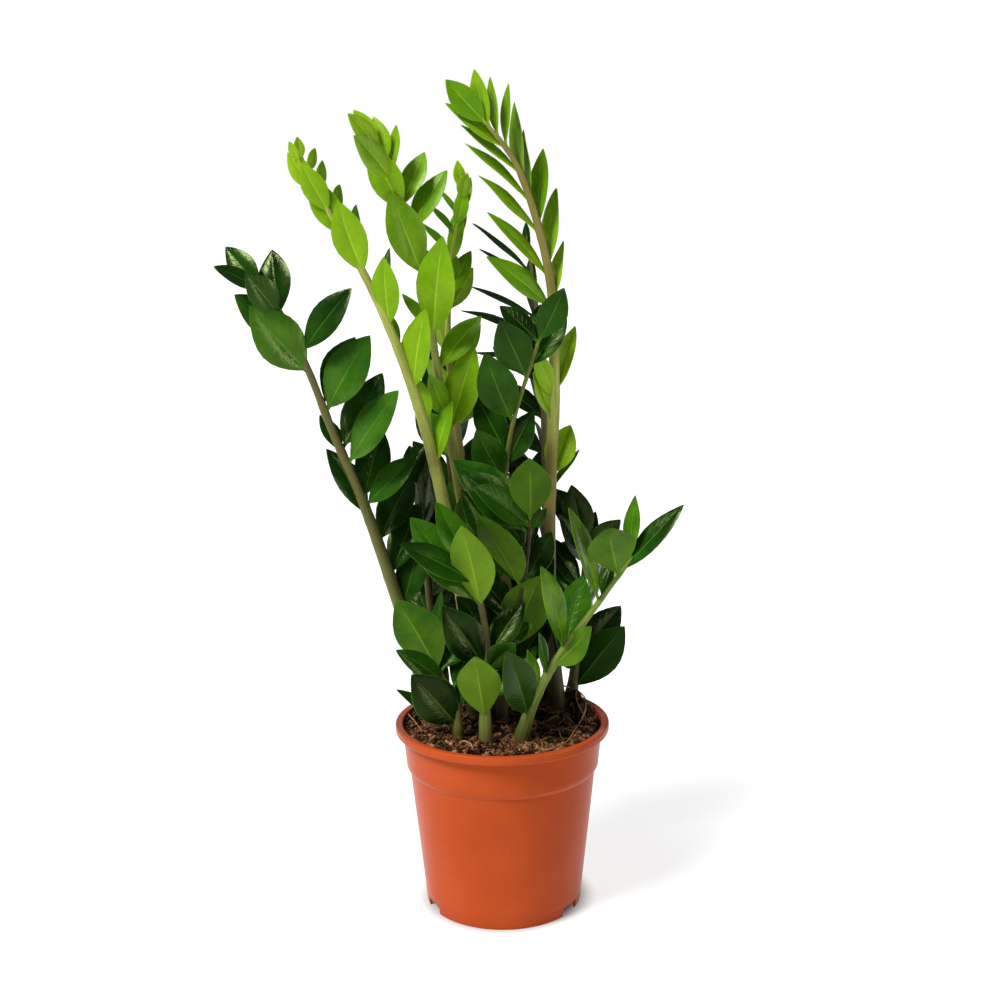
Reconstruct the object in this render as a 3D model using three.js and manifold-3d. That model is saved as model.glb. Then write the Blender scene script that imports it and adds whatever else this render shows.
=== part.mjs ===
// A potted ZZ plant: arching fronds, each a thick stem with two ranks of fleshy leaflets, standing
// in the soil of a round moulded nursery pot.
// Millimetres and degrees, +Z up. The origin is on the floor under the middle of the pot, and -Y is
// the front.

import * as THREE from 'three';
import { mergeVertices } from 'three/addons/utils/BufferGeometryUtils.js';
import Module from 'manifold-3d';

const manifold = await Module();
manifold.setup();

// ---------------------------------------------------------------- driving dimensions

const GAP = 0.3; // left between pieces that touch in the real plant
const SHORTEST_EDGE = 0.02; // shorter ones are closed up

const POT = {
  height: 150,
  rimRadius: 85,
  rimInnerRadius: 79,
  rimDepth: 6.7, // height of the rolled lip
  footRadius: 62.1,
  footWidth: 1.6, // of the ring that stands on the floor round the channel
  shoulderRadius: 74, // top of the tapered wall, under the collar
  shoulderHeight: 112,
  collarRadius: 76.6, // the wall steps out here,
  collarStep: 4, // over this height
  collarTopRadius: 79.2,
  wall: 1.2,
  baseRadius: 46, // flat middle of the base, which stands on the floor
  rampWidth: 3.5, // slope from there up to the channel
  rampInset: 0.65, // sideways share of the wall's thickness on that slope
  channelHeight: 8, // underside of the raised ring that carries the drain holes
  notchHeight: 7.5,
  notchWidth: 19,
  notchAngles: [-64, 57, 176], // round the foot, 0 at the front and positive to the right
  drainRadius: 4.5,
  drainCircle: 55,
  drainCount: 6,
  sides: 28,
};

const SOIL = {
  top: 145,
  edgeTop: 147.3, // it rises a little towards the wall
  rings: [0, 22, 44, 64], // radii of the rings of points on the top
  ripple: { height: 1.6, acrossX: 6.1, acrossY: 5.3 }, // the uneven crumbs, waves over the top
  mounds: [
    { x: 63, y: 33, radius: 15, height: 17 },
    { x: -56, y: 44, radius: 13, height: 11 },
    { x: -50, y: -36, radius: 13, height: 5 },
    { x: -20, y: -54, radius: 12, height: 5 },
    { x: 2, y: -2, radius: 40, height: 3 },
  ],
};

const STEM = {
  sides: 5,
  steps: 9,
  lastShare: 0.98, // the last leaflets leave the stem just short of its tip
};

const BLADE = {
  wide: 0.43, // width as a share of the length
  thick: 1.7,
  thickAtRoot: 1.15, // shares of that thickness at the root
  thickAtTip: 0.75, // and at the tip
  skew: 0.97, // below 1 moves the widest place towards the root
  point: 0.88, // above 1 draws the ends out, below 1 fills them
  stalk: 0.08, // share of the length that is the bare stalk
  stalkHalfWidth: 1.3,
  fold: 0.17, // rise of the margins over the midrib
  arch: 0.1, // how far the tip bends back, as a share of the length
  stations: [0, 0.1, 0.3, 0.54, 0.8, 1], // where the outline has points, from the root
};

// How a leaflet keeps clear of what already stands there.
const CLEAR = {
  blade: 2.3, // between the middles of two blades
  stem: 1.8, // between a blade and another frond's stem
  edge: 1.5, // past the outline
  rim: 153, // leaflets stay above this height,
  rimShare: 0.3, // apart from this first share of their length
  stemRange: 1.3, // stems are looked at this many lengths around
  samplesAlong: [0.12, 0.25, 0.4, 0.55, 0.7, 0.85, 1],
  samplesAcross: [-1, -0.5, 0, 0.5, 1],
  ownShare: 0.32, // neighbours on one stem may meet over this first share of their length
  otherShare: 0.06,
  stemStep: 80, // points along a stem
};

// Changes of pose tried in turn, as [reach, lean, turn], and then the lengths to try them at.
const BENDS = [
  [0, 0, 0], [7, 0, 0], [-7, 0, 0], [0, 5, 0], [0, -5, 0], [14, 0, 0], [-14, 0, 0],
  [0, 0, 20], [0, 0, -20], [8, 7, 0], [8, -7, 0], [-8, 7, 0], [-8, -7, 0], [22, 0, 0], [-22, 0, 0],
  [0, 12, 0], [0, -12, 0], [14, 12, 0], [14, -12, 0], [-14, 12, 0], [-14, -12, 0],
  [0, 0, 45], [0, 0, -45], [30, 0, 0], [-30, 0, 0], [22, 18, 0], [22, -18, 0], [-22, 18, 0],
  [-22, -18, 0], [20, 0, 40], [-20, 0, 40], [20, 0, -40], [-20, 0, -40], [40, 0, 0], [-40, 0, 0],
];
const SHORTENING = [1, 0.85, 0.7];

const COLOURS = {
  pot: 0xc45a32,
  soil: 0x3a271b,
  bright: 0x7fb32c,
  green: 0x3f7a2c,
  dark: 0x1f4f26,
};

// ---------------------------------------------------------------- the fronds
//
// stem: points from the foot in the soil to the tip. radii: of the stem, evenly from foot to tip.
// ranks: the rows of leaflets. In a row, each leaflet has
//   height  where it leaves the stem,
//   lean    its slant from upright, positive to the right,
//   reach   how far it points forwards (positive) or back,
//   turn    the twist of its upper face from facing the front, positive to the right,
//   long    its length from the middle of the stem to its tip,
//   wide    its width as a share of that length, where it isn't the usual one.
// facing turns a whole row about the upright: 0 faces the front, 90 the right and 180 the back.
// A list with fewer values than the row has leaflets is stretched evenly along the row.
// The fronds in front come first, because what stands further back gives way to them.

const FRONDS = [
  {
    name: 'frond_front_low', colour: 'green', radii: [5.5, 3.6, 1.6],
    stem: [[-12, -55, 110], [-13, -46, 172], [-11, -42, 227], [-20, -46, 284]],
    ranks: [
      { height: [202, 205, 252], lean: [40, 37, -9], reach: [15, 25, 16], turn: [-40, -10, 160],
        long: [32, 42, 78], wide: [0.44, 0.5, 0.44] },
      { height: [166, 204, 255, 272, 284], lean: [-6, -29, -35, -48, -25], reach: [26, 15, -2, 15, 10],
        turn: [180, 23, 35, 60, 44], long: [74, 64, 86, 68, 62], wide: [0.45, 0.48, 0.44, 0.42, 0.44] },
      { height: [180, 214], count: 2, lean: [44, 34], reach: [-14, -24], turn: -25, long: [58, 52] },
    ],
  },
  {
    name: 'frond_right_low', colour: 'green', radii: [6, 3.2, 1.3],
    stem: [[5, -40, 110], [19, -39, 163], [38, -40, 205], [68, -45, 250], [99, -52, 295]],
    ranks: [
      { height: [165, 185, 198, 219, 258, 279], lean: [-11, -9, -4, -9, -12, -13],
        reach: [25, 8, 15, 20, 18, 38], turn: [31, 45, 60, 50, 60, 180], long: [73, 36, 39, 77, 84, 66],
        wide: [0.42, 0.32, 0.36, 0.31, 0.3, 0.55] },
      { height: [205, 222, 261, 281, 295], lean: [42, 17, 18, 37, 1], reach: [20, -20, -15, 5, -10],
        turn: [130, 0, -39, -52, -50], long: [53, 58, 32, 70, 49], wide: [0.44, 0.44, 0.44, 0.29, 0.34] },
    ],
  },
  {
    name: 'frond_left_low', colour: 'green', radii: [5, 3.2, 1.6],
    stem: [[-34, -36, 110], [-34, -37, 150], [-37, -36, 180], [-52, -33, 208]],
    ranks: [
      { height: [157, 158, 190], lean: [-51, -34, -46], reach: [8, 14, 18], turn: [50, 20, 40],
        long: [57, 60, 52], wide: [0.22, 0.58, 0.36] },
      { height: [184, 199, 206], lean: [-34, -27, 0], reach: [-16, -4, -8], turn: [0, 165, -50],
        long: [54, 68, 60], wide: [0.4, 0.6, 0.3] },
      { height: [170, 200], count: 3, lean: [22, 26], reach: [-12, -25], turn: -20, long: [62, 56] },
    ],
  },
  {
    name: 'frond_centre', colour: 'green', radii: [5.5, 3.4, 2.4, 1.5],
    stem: [[-5, 0, 110], [3, -2, 180], [12, -11, 235], [19, -21, 280], [23, -28, 320]],
    ranks: [
      { height: [207, 220, 310, 320], lean: [19, 35, 36, -1], reach: [25, 20, 15, 24],
        turn: [180, -60, -9, 180], long: [74, 32, 22, 62], wide: [0.52, 0.44, 0.44, 0.52] },
      { height: [261, 306, 312, 314], lean: [-21, -41, -44, -46], reach: [25, 15, 15, 10],
        turn: [140, 35, 50, 30], long: [86, 74, 62, 76] },
      { height: [176, 292], count: 5, lean: [-44, -30], reach: [10, -20], turn: 30, long: [64, 60] },
      { height: [186, 262], count: 4, lean: [36, 30], reach: [-15, -30], turn: -25, long: [62, 54] },
    ],
  },
  {
    name: 'frond_bright_left', colour: 'bright', radii: [6.5, 6, 4.8, 3.4, 1.4],
    stem: [[-20, 15, 110], [-26, 14, 212], [-42, 9, 314], [-63, 0, 407], [-95, -9, 493], [-149, -16, 594]],
    ranks: [
      { height: [354, 386, 412, 461, 500, 528, 546, 562, 575, 587],
        lean: [11, -4, 6, -5, -18, -30, -28, -36, -32, -26],
        reach: [10, 10, 18, 18, 15, 18, 15, 12, 10, 8], turn: [-52, 0, -39, -23, 0, 0, 0, 0, -32, -12],
        long: [54, 36, 68, 56, 60, 51, 43, 36, 23, 17],
        wide: [0.42, 0.44, 0.42, 0.43, 0.42, 0.43, 0.46, 0.42] },
      { height: [444, 486, 523, 545, 562, 576, 588], lean: [-16, 22, 14, 17, 12, 10, -4],
        reach: [-25, -30, -25, -20, -20, -15, -8], turn: [65, 66, 59, 51, 51, 49, 30],
        long: [42, 43, 35, 30, 26, 23, 20] },
    ],
  },
  {
    name: 'frond_bright_middle', colour: 'bright', radii: [6.5, 5, 3.8, 2.4, 1.2],
    stem: [[-5, 40, 110], [-17, 36, 222], [-31, 29, 325], [-46, 17, 420], [-60, 8, 512], [-90, 0, 604]],
    ranks: [
      { height: [283, 377, 427, 451, 531, 550, 571], lean: [-4, 15, 37, 4, 27, 19, 1],
        reach: [20, 12, -10, 22, -8, -18, -15], turn: [-20, -25, -28, -33, -37, -30, -51],
        long: [50, 71, 54, 83, 56, 49, 43] },
      { height: [286, 373, 390, 455, 498, 546, 570, 580, 588, 595],
        lean: [-14, -37, -15, -32, -17, -26, -34, -14, -34, -32],
        reach: [2, -10, 10, -20, 15, 12, 15, -10, 20, 5],
        turn: [30, 13, 34, 60, 23, 0, 33, 0, 40, 20], long: [54, 26, 43, 42, 69, 55, 48, 40, 40, 33],
        wide: [0.5, 0.44, 0.44, 0.46, 0.44] },
    ],
  },
  {
    name: 'frond_tall_right', colour: 'bright', radii: [7, 5.2, 4.6, 3, 1.2], wide: 0.29,
    stem: [[50, 26, 110], [41, 26, 207], [39, 24, 310], [43, 21, 410], [40, 15, 495], [18, 0, 574],
      [-10, -13, 614]],
    ranks: [
      { height: [386, 402, 473, 496, 529, 553, 574, 591, 609],
        lean: [-18, -19, -47, -38, -41, -43, -46, -49, -43], reach: [15, 15, 12, 10, 10, 10, 8, 8, 10],
        turn: [39, 20, 43, 60, 62, 64, 62, 45, 0], long: [44, 46, 66, 70, 65, 66, 57, 57, 44],
        wide: [0.34, 0.34, 0.32, 0.26, 0.24, 0.23, 0.24, 0.3, 0.45] },
      { height: [330, 341, 405, 477, 502, 534, 552, 566, 593, 600, 607],
        lean: [34, 21, 13, 5, 1, -1, -11, -12, -2, -12, -18],
        reach: [-25, -10, -12, -10, -8, -8, -5, -5, 0, 0, 5],
        turn: [-60, -11, -49, -58, -56, -50, -60, -60, -60, -58, -34],
        long: [44, 45, 59, 50, 64, 61, 56, 62, 46, 44, 43],
        wide: [0.2, 0.55, 0.38, 0.34, 0.36, 0.36, 0.32, 0.32, 0.3, 0.34, 0.36] },
    ],
  },
  {
    name: 'frond_dark_middle', colour: 'green', radii: [5.5, 3.4, 2.6, 1.8, 1.2],
    stem: [[20, 38, 110], [9, 28, 224], [2, 18, 300], [9, 5, 380], [32, -6, 456]],
    ranks: [
      { height: [340, 362, 388, 423, 452], lean: [-26, -28, -21, -24, -44], reach: [20, -15, 18, 25, -15],
        turn: [0, 0, 0, 0, 30], long: [50, 54, 60, 52, 42], wide: [0.54, 0.46, 0.52, 0.56, 0.44] },
      { height: [300, 352, 430, 446, 455], lean: [30, 24, 34, 11, 25], reach: [20, 10, -10, -25, 15],
        turn: [-20, -20, -25, -22, 0], long: [52, 50, 50, 40, 46], wide: [0.46, 0.46, 0.44, 0.44, 0.49] },
      { height: [215, 320], count: 4, lean: [-34, -30], reach: [10, -10], turn: 25, long: [62, 56] },
      { height: [205, 270], count: 3, lean: [34, 28], reach: [0, -20], turn: -25, long: [62, 58] },
    ],
  },
  {
    name: 'frond_dark_left', colour: 'dark', radii: [6.5, 5.6, 4, 2.8, 1.5],
    stem: [[-48, -4, 110], [-69, 8, 203], [-86, 14, 258], [-106, 3, 326], [-127, -7, 384],
      [-149, -16, 447], [-177, -21, 496]],
    ranks: [
      { height: [323, 328, 357, 368, 398, 405, 444, 471], lean: [42, 15, 31, 25, 29, 26, 36, -10],
        reach: [10, -15, 20, -20, 12, -22, 8, -18], turn: [-38, 0, -44, -31, -22, 0, -32, -13],
        long: [58, 60, 76, 71, 70, 61, 63, 55], wide: [0.43, 0.46, 0.45, 0.46, 0.5, 0.46, 0.43, 0.5] },
      { height: [313, 366, 428, 451, 471, 491, 494], lean: [-26, -28, -35, -46, -28, -56, -42],
        reach: [0, -15, 20, 10, 26, 10, -12], turn: [51, 40, 25, 30, 24, 50, 0],
        long: [64, 36, 69, 58, 46, 40, 49], wide: [0.43, 0.43, 0.54, 0.48, 0.5, 0.43, 0.43] },
      { height: [236, 292], count: 3, lean: [14, 26], reach: [-10, -30], turn: -20, long: [62, 66] },
    ],
  },
  {
    name: 'frond_bright_back', colour: 'bright', radii: [6, 4.6, 3.2, 2, 1.2], wide: 0.42,
    stem: [[4, 58, 110], [-9, 58, 233], [-28, 55, 330], [-39, 52, 430], [-37, 49, 500], [-23, 44, 577]],
    ranks: [
      { height: [481, 495, 506, 518, 534, 543, 556, 562], lean: [24, 18, 11, 10, 10, 14, 12, -12],
        reach: [10, 10, 10, -15, 15, 10, 8, 15], turn: [-25, 0, -45, -40, -33, -37, -15, -22],
        long: [41, 22, 40, 40, 34, 32, 28, 25] },
      { height: [492, 512, 529, 543], lean: [-36, -36, -34, -30], reach: -15, turn: 60,
        long: [44, 38, 33, 28], wide: 0.3 },
      { height: [330, 470], count: 4, facing: 170, lean: [-36, -26], reach: [14, 10],
        turn: 30, long: [56, 40] },
      { height: [345, 478], count: 4, facing: 170, lean: [34, 12], reach: [14, 10],
        turn: -30, long: [56, 40] },
    ],
  },
  {
    name: 'frond_right_back', colour: 'dark', radii: [5.5, 4, 2.6, 1.5],
    stem: [[50, 42, 110], [61, 46, 180], [67, 51, 244], [72, 54, 288]],
    ranks: [
      { height: [158, 183, 270, 276], lean: [36, 42, 10, 46], reach: [10, -10, -15, -5],
        turn: [165, 0, -40, 0], long: [76, 59, 38, 38], wide: [0.44, 0.5, 0.44, 0.5] },
      { height: [278, 284], lean: [-14, -32], reach: [10, -10],
        turn: [0, 20], long: [54, 50], wide: [0.48, 0.5] },
      { height: [175, 262], count: 5, facing: 20, lean: [-30, -26], reach: [10, -10],
        turn: 30, long: [62, 54] },
      { height: [200, 264], count: 4, facing: 95, lean: [36, 26], reach: [20, 10],
        turn: -20, long: [60, 52] },
    ],
  },
  {
    name: 'frond_dark_tall', colour: 'dark', radii: [5.5, 4.4, 3, 1.9, 1.2],
    stem: [[38, 50, 110], [40, 58, 232], [38, 62, 316], [36, 65, 400], [31, 66, 470], [23, 62, 529]],
    ranks: [
      { height: [427, 447, 463, 487, 498], lean: [-76, -65, -59, -49, -44], reach: [-10, -5, -5, 0, 0],
        turn: 74, long: [56, 68, 60, 54, 62], wide: 0.24 },
      { height: [478, 512], lean: [-11, -10], reach: -10, turn: -56, long: [36, 28] },
      { height: [262, 410], count: 6, lean: [-42, -50], reach: [-10, -25], turn: 50, long: [62, 56] },
      { height: [255, 450], count: 6, facing: 130, lean: [40, 24], reach: [10, 5],
        turn: -30, long: [62, 46] },
    ],
  },
  {
    name: 'frond_left_back', colour: 'dark', radii: [5.5, 4, 2.6, 1.5],
    stem: [[-40, 43, 110], [-54, 48, 200], [-62, 50, 280], [-66, 50, 332]],
    ranks: [
      { height: [262, 292, 326], lean: [-9, 4, 14], reach: [0, 10, -15], turn: [-33, -46, -20],
        long: [58, 62, 44] },
      { height: [300, 328], lean: [-14, -12], reach: [0, -20], turn: [31, 20], long: [34, 42] },
      { height: [192, 204, 220, 240, 270, 300], facing: -100, lean: [-36, -22, -34, -32, -30, -26],
        reach: [16, 24, 14, 12, 12, 10], turn: [25, 75, 60, 25, 25, 25], long: [62, 60, 60, 58, 56, 54] },
      { height: [190, 282], count: 5, lean: [30, 22], reach: [20, -20], turn: -30, long: [62, 56] },
    ],
  },
  {
    name: 'frond_rear_left', colour: 'dark', radii: [5.5, 4, 2.6, 1.5],
    stem: [[-18, 60, 110], [-26, 68, 190], [-34, 76, 270], [-42, 82, 350], [-48, 84, 412]],
    ranks: [
      { height: [204, 404], count: 8, facing: -150, lean: [-42, -20], reach: [18, 8], turn: [30, 15],
        long: [64, 46] },
      { height: [212, 400], count: 8, facing: -150, lean: [40, 22], reach: [18, 8], turn: [-30, -15],
        long: [64, 46] },
    ],
  },
  {
    name: 'frond_rear', colour: 'dark', radii: [5, 3.8, 2.5, 1.5],
    stem: [[20, 58, 110], [23, 63, 180], [27, 82, 250], [25, 102, 320]],
    ranks: [
      { height: [190, 312], count: 6, facing: 155, lean: [-42, -20], reach: [20, 8], turn: [30, 15],
        long: [62, 48] },
      { height: [197, 308], count: 6, facing: 155, lean: [42, 22], reach: [20, 8], turn: [-30, -15],
        long: [62, 48] },
    ],
  },
];

// ---------------------------------------------------------------- solids and meshes

/** A closed geometry, as a solid that can be joined and cut. */
function toSolid(geometry) {
  geometry.deleteAttribute('normal');
  geometry.deleteAttribute('uv');
  const merged = mergeVertices(geometry, 1e-4);
  return new manifold.Manifold(new manifold.Mesh({
    numProp: 3,
    vertProperties: Float32Array.from(merged.attributes.position.array),
    triVerts: Uint32Array.from(merged.index.array),
  }));
}

/** A solid, as a named mesh with its own material. */
function toMesh(name, solid, color, roughness) {
  const { vertProperties, triVerts } = solid.simplify(SHORTEST_EDGE).getMesh();
  const geometry = new THREE.BufferGeometry();
  geometry.setAttribute('position', new THREE.BufferAttribute(vertProperties, 3));
  geometry.setIndex(new THREE.BufferAttribute(triVerts, 1));
  geometry.computeVertexNormals();
  const material = new THREE.MeshStandardMaterial({ color, roughness, metalness: 0 });
  const mesh = new THREE.Mesh(geometry, material);
  mesh.name = name;
  return mesh;
}

/** Moves every vertex of a geometry to where place(vertex) puts it. */
function reshape(geometry, place) {
  const position = geometry.attributes.position;
  const vertex = new THREE.Vector3();
  for (let i = 0; i < position.count; i += 1) {
    place(vertex.fromBufferAttribute(position, i));
    position.setXYZ(i, vertex.x, vertex.y, vertex.z);
  }
  return geometry;
}

/** A profile of [radius, height] points turned round the Z axis. */
function turned(profile, sides) {
  const points = profile.map(([radius, height]) => new THREE.Vector2(radius, height));
  return new THREE.LatheGeometry(points, sides).rotateX(Math.PI / 2);
}

// ---------------------------------------------------------------- pot

/** The inside of the pot from the middle of its floor to the rim, shrunk by a gap. */
function potInside(gap) {
  const inset = POT.wall + gap;
  const floor = POT.wall + gap;
  return [
    [0, floor],
    [POT.baseRadius - POT.rampInset * inset, floor],
    [POT.baseRadius + POT.rampWidth - POT.rampInset * inset, POT.channelHeight + floor],
    [POT.footRadius + 0.9 - inset, POT.channelHeight + floor],
    [POT.shoulderRadius - inset, POT.shoulderHeight + gap],
    [POT.collarRadius - inset, POT.shoulderHeight + POT.collarStep + 1 + gap],
    [POT.collarTopRadius - inset, POT.height - POT.rimDepth],
  ];
}

function makePot() {
  const lip = POT.height - POT.rimDepth;
  const outside = [
    [0, 0],
    [POT.baseRadius, 0],
    [POT.baseRadius + POT.rampWidth, POT.channelHeight],
    [POT.footRadius - POT.footWidth, POT.channelHeight],
    [POT.footRadius - POT.footWidth, 0],
    [POT.footRadius - 0.5, 0],
    [POT.footRadius, 0.8],
    [POT.shoulderRadius, POT.shoulderHeight],
    [POT.collarRadius, POT.shoulderHeight + POT.collarStep],
    [POT.collarTopRadius, lip],
    [POT.rimRadius - 0.9, lip],
    [POT.rimRadius, lip + 1],
    [POT.rimRadius, POT.height - 2],
    [POT.rimRadius - 1.4, POT.height - 0.4],
    [POT.rimRadius - 2.8, POT.height],
    [POT.rimInnerRadius + 1, POT.height - 0.4],
    [POT.rimInnerRadius, POT.height - 1.8],
  ];
  let pot = toSolid(turned([...outside, ...potInside(0).reverse()], POT.sides));
  for (const angle of POT.notchAngles) {
    const notch = new THREE.BoxGeometry(POT.notchWidth, 8, 2 * POT.notchHeight);
    notch.translate(0, -POT.footRadius, 0).rotateZ(THREE.MathUtils.degToRad(angle));
    pot = pot.subtract(toSolid(notch));
  }
  for (let i = 0; i < POT.drainCount; i += 1) {
    const drain = new THREE.CylinderGeometry(POT.drainRadius, POT.drainRadius, 4, 8).rotateX(Math.PI / 2);
    drain.translate(0, -POT.drainCircle, POT.channelHeight + POT.wall / 2);
    drain.rotateZ((2 * Math.PI * (i + 0.5)) / POT.drainCount);
    pot = pot.subtract(toSolid(drain));
  }
  return toMesh('pot', pot, COLOURS.pot, 0.45);
}

// ---------------------------------------------------------------- stems

/** The smooth line through a frond's stem points. */
function stemLine(frond) {
  const points = frond.stem.map(([x, y, z]) => new THREE.Vector3(x, y, z));
  return new THREE.CatmullRomCurve3(points, false, 'catmullrom', 0.5);
}

/** The stem's radius at a share of its line, with straight tapers between the listed ones. */
function stemRadius(frond, share) {
  return stretched(frond.radii, share);
}

/** A value out of a list that is stretched evenly over shares 0 to 1. */
function stretched(values, share) {
  if (!Array.isArray(values)) return values;
  const place = share * (values.length - 1);
  const before = Math.min(Math.floor(place), values.length - 2);
  return THREE.MathUtils.lerp(values[before], values[before + 1], place - before);
}

/** The share of a stem's line at which it reaches a height, by halving. */
function shareAtHeight(line, height) {
  let low = 0;
  let high = 1;
  for (let i = 0; i < 24; i += 1) {
    const middle = (low + high) / 2;
    if (line.getPoint(middle).z < height) low = middle;
    else high = middle;
  }
  return Math.min(low, STEM.lastShare);
}

const FRONT = new THREE.Vector3(0, -1, 0);
const UPRIGHT = new THREE.Vector3(0, 0, 1);

/** Axes across a direction: to the right and towards a front. */
function axesAcross(direction, towards) {
  const right = new THREE.Vector3().crossVectors(direction, towards).normalize();
  const front = new THREE.Vector3().crossVectors(right, direction);
  return { right, front };
}

/** A tapering tube along a frond's line, swollen by extra and lengthened as much at its foot. */
function stemTube(frond, extra) {
  const line = stemLine(frond);
  const tube = new THREE.CylinderGeometry(1, 1, 1, STEM.sides, STEM.steps);
  return toSolid(reshape(tube, (vertex) => {
    const share = vertex.y + 0.5;
    const direction = line.getTangent(share);
    const { right, front } = axesAcross(direction, FRONT);
    const radius = stemRadius(frond, share) + extra;
    const { x, z } = vertex;
    vertex.copy(line.getPoint(share)).addScaledVector(right, x * radius).addScaledVector(front, z * radius);
    if (share < 1e-6) vertex.addScaledVector(direction, -extra);
  }));
}

// ---------------------------------------------------------------- leaflets

/** Half the width of a blade at a share of its length: a slim stalk, then a pointed oval. */
function halfWidth(blade, share) {
  const open = Math.max(0, (share - BLADE.stalk) / (1 - BLADE.stalk));
  const oval = 0.5 * blade.wide * Math.sin(Math.PI * open ** BLADE.skew) ** BLADE.point;
  return Math.max(oval, BLADE.stalkHalfWidth * (1 - share));
}

/** How high the blade's middle surface stands over its root plane: folded up at the margins and
 *  arched back along its length. */
function surfaceHeight(blade, across, along) {
  return BLADE.fold * Math.abs(across) - BLADE.arch * (along * along) / blade.long;
}

/** A leaflet's place: its root, and its axes across, along and out of its upper face. */
function placeBlade(frondIndex, root, long, wide, pose) {
  const [lean, reach, turn, facing] = pose.map(THREE.MathUtils.degToRad);
  const along = new THREE.Vector3(Math.sin(lean) * Math.cos(reach), -Math.sin(reach),
    Math.cos(lean) * Math.cos(reach)).applyAxisAngle(UPRIGHT, facing);
  const { right, front } = axesAcross(along, FRONT.clone().applyAxisAngle(UPRIGHT, facing));
  const up = front.clone().multiplyScalar(Math.cos(turn)).addScaledVector(right, Math.sin(turn));
  const across = new THREE.Vector3().crossVectors(along, up);
  const blade = { frondIndex, root, along, across, up, long, wide: long * wide };
  blade.samples = [];
  for (const share of CLEAR.samplesAlong) {
    for (const side of CLEAR.samplesAcross) {
      const x = side * halfWidth(blade, share);
      const y = share * long;
      blade.samples.push({ share, point: onBlade(blade, x, y, surfaceHeight(blade, x, y)) });
    }
  }
  return blade;
}

/** The point at distances across, along and above a blade. */
function onBlade(blade, x, y, z) {
  return blade.root.clone()
    .addScaledVector(blade.across, x).addScaledVector(blade.along, y).addScaledVector(blade.up, z);
}

/** How far a point lies over a blade's surface, or null where it is past the outline. */
function heightOver(blade, point, margin, firstShare) {
  const offset = point.clone().sub(blade.root);
  const y = offset.dot(blade.along);
  if (y < firstShare * blade.long || y > blade.long + margin) return null;
  const x = offset.dot(blade.across);
  if (Math.abs(x) > halfWidth(blade, Math.min(1, y / blade.long)) + margin) return null;
  return offset.dot(blade.up) - surfaceHeight(blade, x, y);
}

/** Whether the points of one blade come too close to another or lie on both sides of it. */
function touches(points, blade, firstShare) {
  let above = false;
  let below = false;
  for (const { share, point } of points) {
    if (share < firstShare) continue;
    const height = heightOver(blade, point, CLEAR.edge, firstShare);
    if (height === null) continue;
    if (Math.abs(height) < CLEAR.blade) return true;
    if (height > 0) above = true;
    else below = true;
  }
  return above && below;
}

/** Whether a new blade stands clear of the rim, the other stems and every placed blade. */
function isClear(blade, placed, stems) {
  if (blade.samples.some(({ share, point }) => share > CLEAR.rimShare && point.z < CLEAR.rim)) return false;
  for (const { frondIndex, point, radius } of stems) {
    if (frondIndex === blade.frondIndex) continue;
    if (point.distanceTo(blade.root) > CLEAR.stemRange * blade.long) continue;
    const height = heightOver(blade, point, radius + CLEAR.stem, 0);
    if (height !== null && Math.abs(height) < radius + CLEAR.stem) return false;
  }
  for (const other of placed) {
    if (blade.root.distanceTo(other.root) > blade.long + other.long) continue;
    const same = other.frondIndex === blade.frondIndex;
    const firstShare = same ? CLEAR.ownShare : CLEAR.otherShare;
    if (touches(blade.samples, other, firstShare)) return false;
    if (touches(other.samples, blade, firstShare)) return false;
  }
  return true;
}

/** A leaflet in the pose nearest to the wanted one that is clear, or null where none is. */
function bendClear(frondIndex, root, leaflet, placed, stems) {
  for (const shortening of SHORTENING) {
    for (const [reach, lean, turn] of BENDS) {
      const pose = [leaflet.lean + lean, leaflet.reach + reach, leaflet.turn + turn, leaflet.facing];
      const blade = placeBlade(frondIndex, root, leaflet.long * shortening, leaflet.wide, pose);
      if (isClear(blade, placed, stems)) return blade;
    }
  }
  return null;
}

/** Every leaflet of every frond, in the order in which they claim their room. */
function placeLeaflets() {
  const stems = FRONDS.flatMap((frond, frondIndex) => {
    const line = stemLine(frond);
    return Array.from({ length: CLEAR.stemStep + 1 }, (_, i) => {
      const share = i / CLEAR.stemStep;
      return { frondIndex, point: line.getPoint(share), radius: stemRadius(frond, share) };
    });
  });
  const placed = [];
  FRONDS.forEach((frond, frondIndex) => {
    const line = stemLine(frond);
    for (const rank of frond.ranks) {
      const count = rank.count ?? rank.height.length;
      for (let i = 0; i < count; i += 1) {
        const share = i / (count - 1);
        const leaflet = {
          facing: rank.facing ?? 0,
          wide: stretched(rank.wide ?? frond.wide ?? BLADE.wide, share),
        };
        for (const key of ['height', 'lean', 'reach', 'turn', 'long']) {
          leaflet[key] = stretched(rank[key], share);
        }
        const root = line.getPoint(shareAtHeight(line, leaflet.height));
        const blade = bendClear(frondIndex, root, leaflet, placed, stems);
        if (blade) placed.push(blade);
      }
    }
  });
  return placed;
}

/** The blade itself: a four-sided spindle pressed into the outline, with sharp margins, a ridge
 *  under the midrib and its thickest line along the middle. */
function bladeSolid(blade) {
  const rows = BLADE.stations.length - 1;
  const spindle = new THREE.SphereGeometry(1, 4, rows);
  return toSolid(reshape(spindle, (vertex) => {
    const angle = Math.acos(THREE.MathUtils.clamp(vertex.y, -1, 1));
    const share = BLADE.stations[rows - Math.round((angle / Math.PI) * rows)];
    const round = Math.max(Math.sin(angle), 1e-9);
    const end = share === 0 || share === 1;
    const x = end ? 0 : (vertex.x / round) * halfWidth(blade, share);
    const y = share * blade.long;
    const thick = BLADE.thick * THREE.MathUtils.lerp(BLADE.thickAtRoot, BLADE.thickAtTip, share);
    const z = end ? 0 : (vertex.z / round) * 0.5 * thick;
    vertex.copy(onBlade(blade, x, y, z + surfaceHeight(blade, x, y)));
  }));
}

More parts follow.
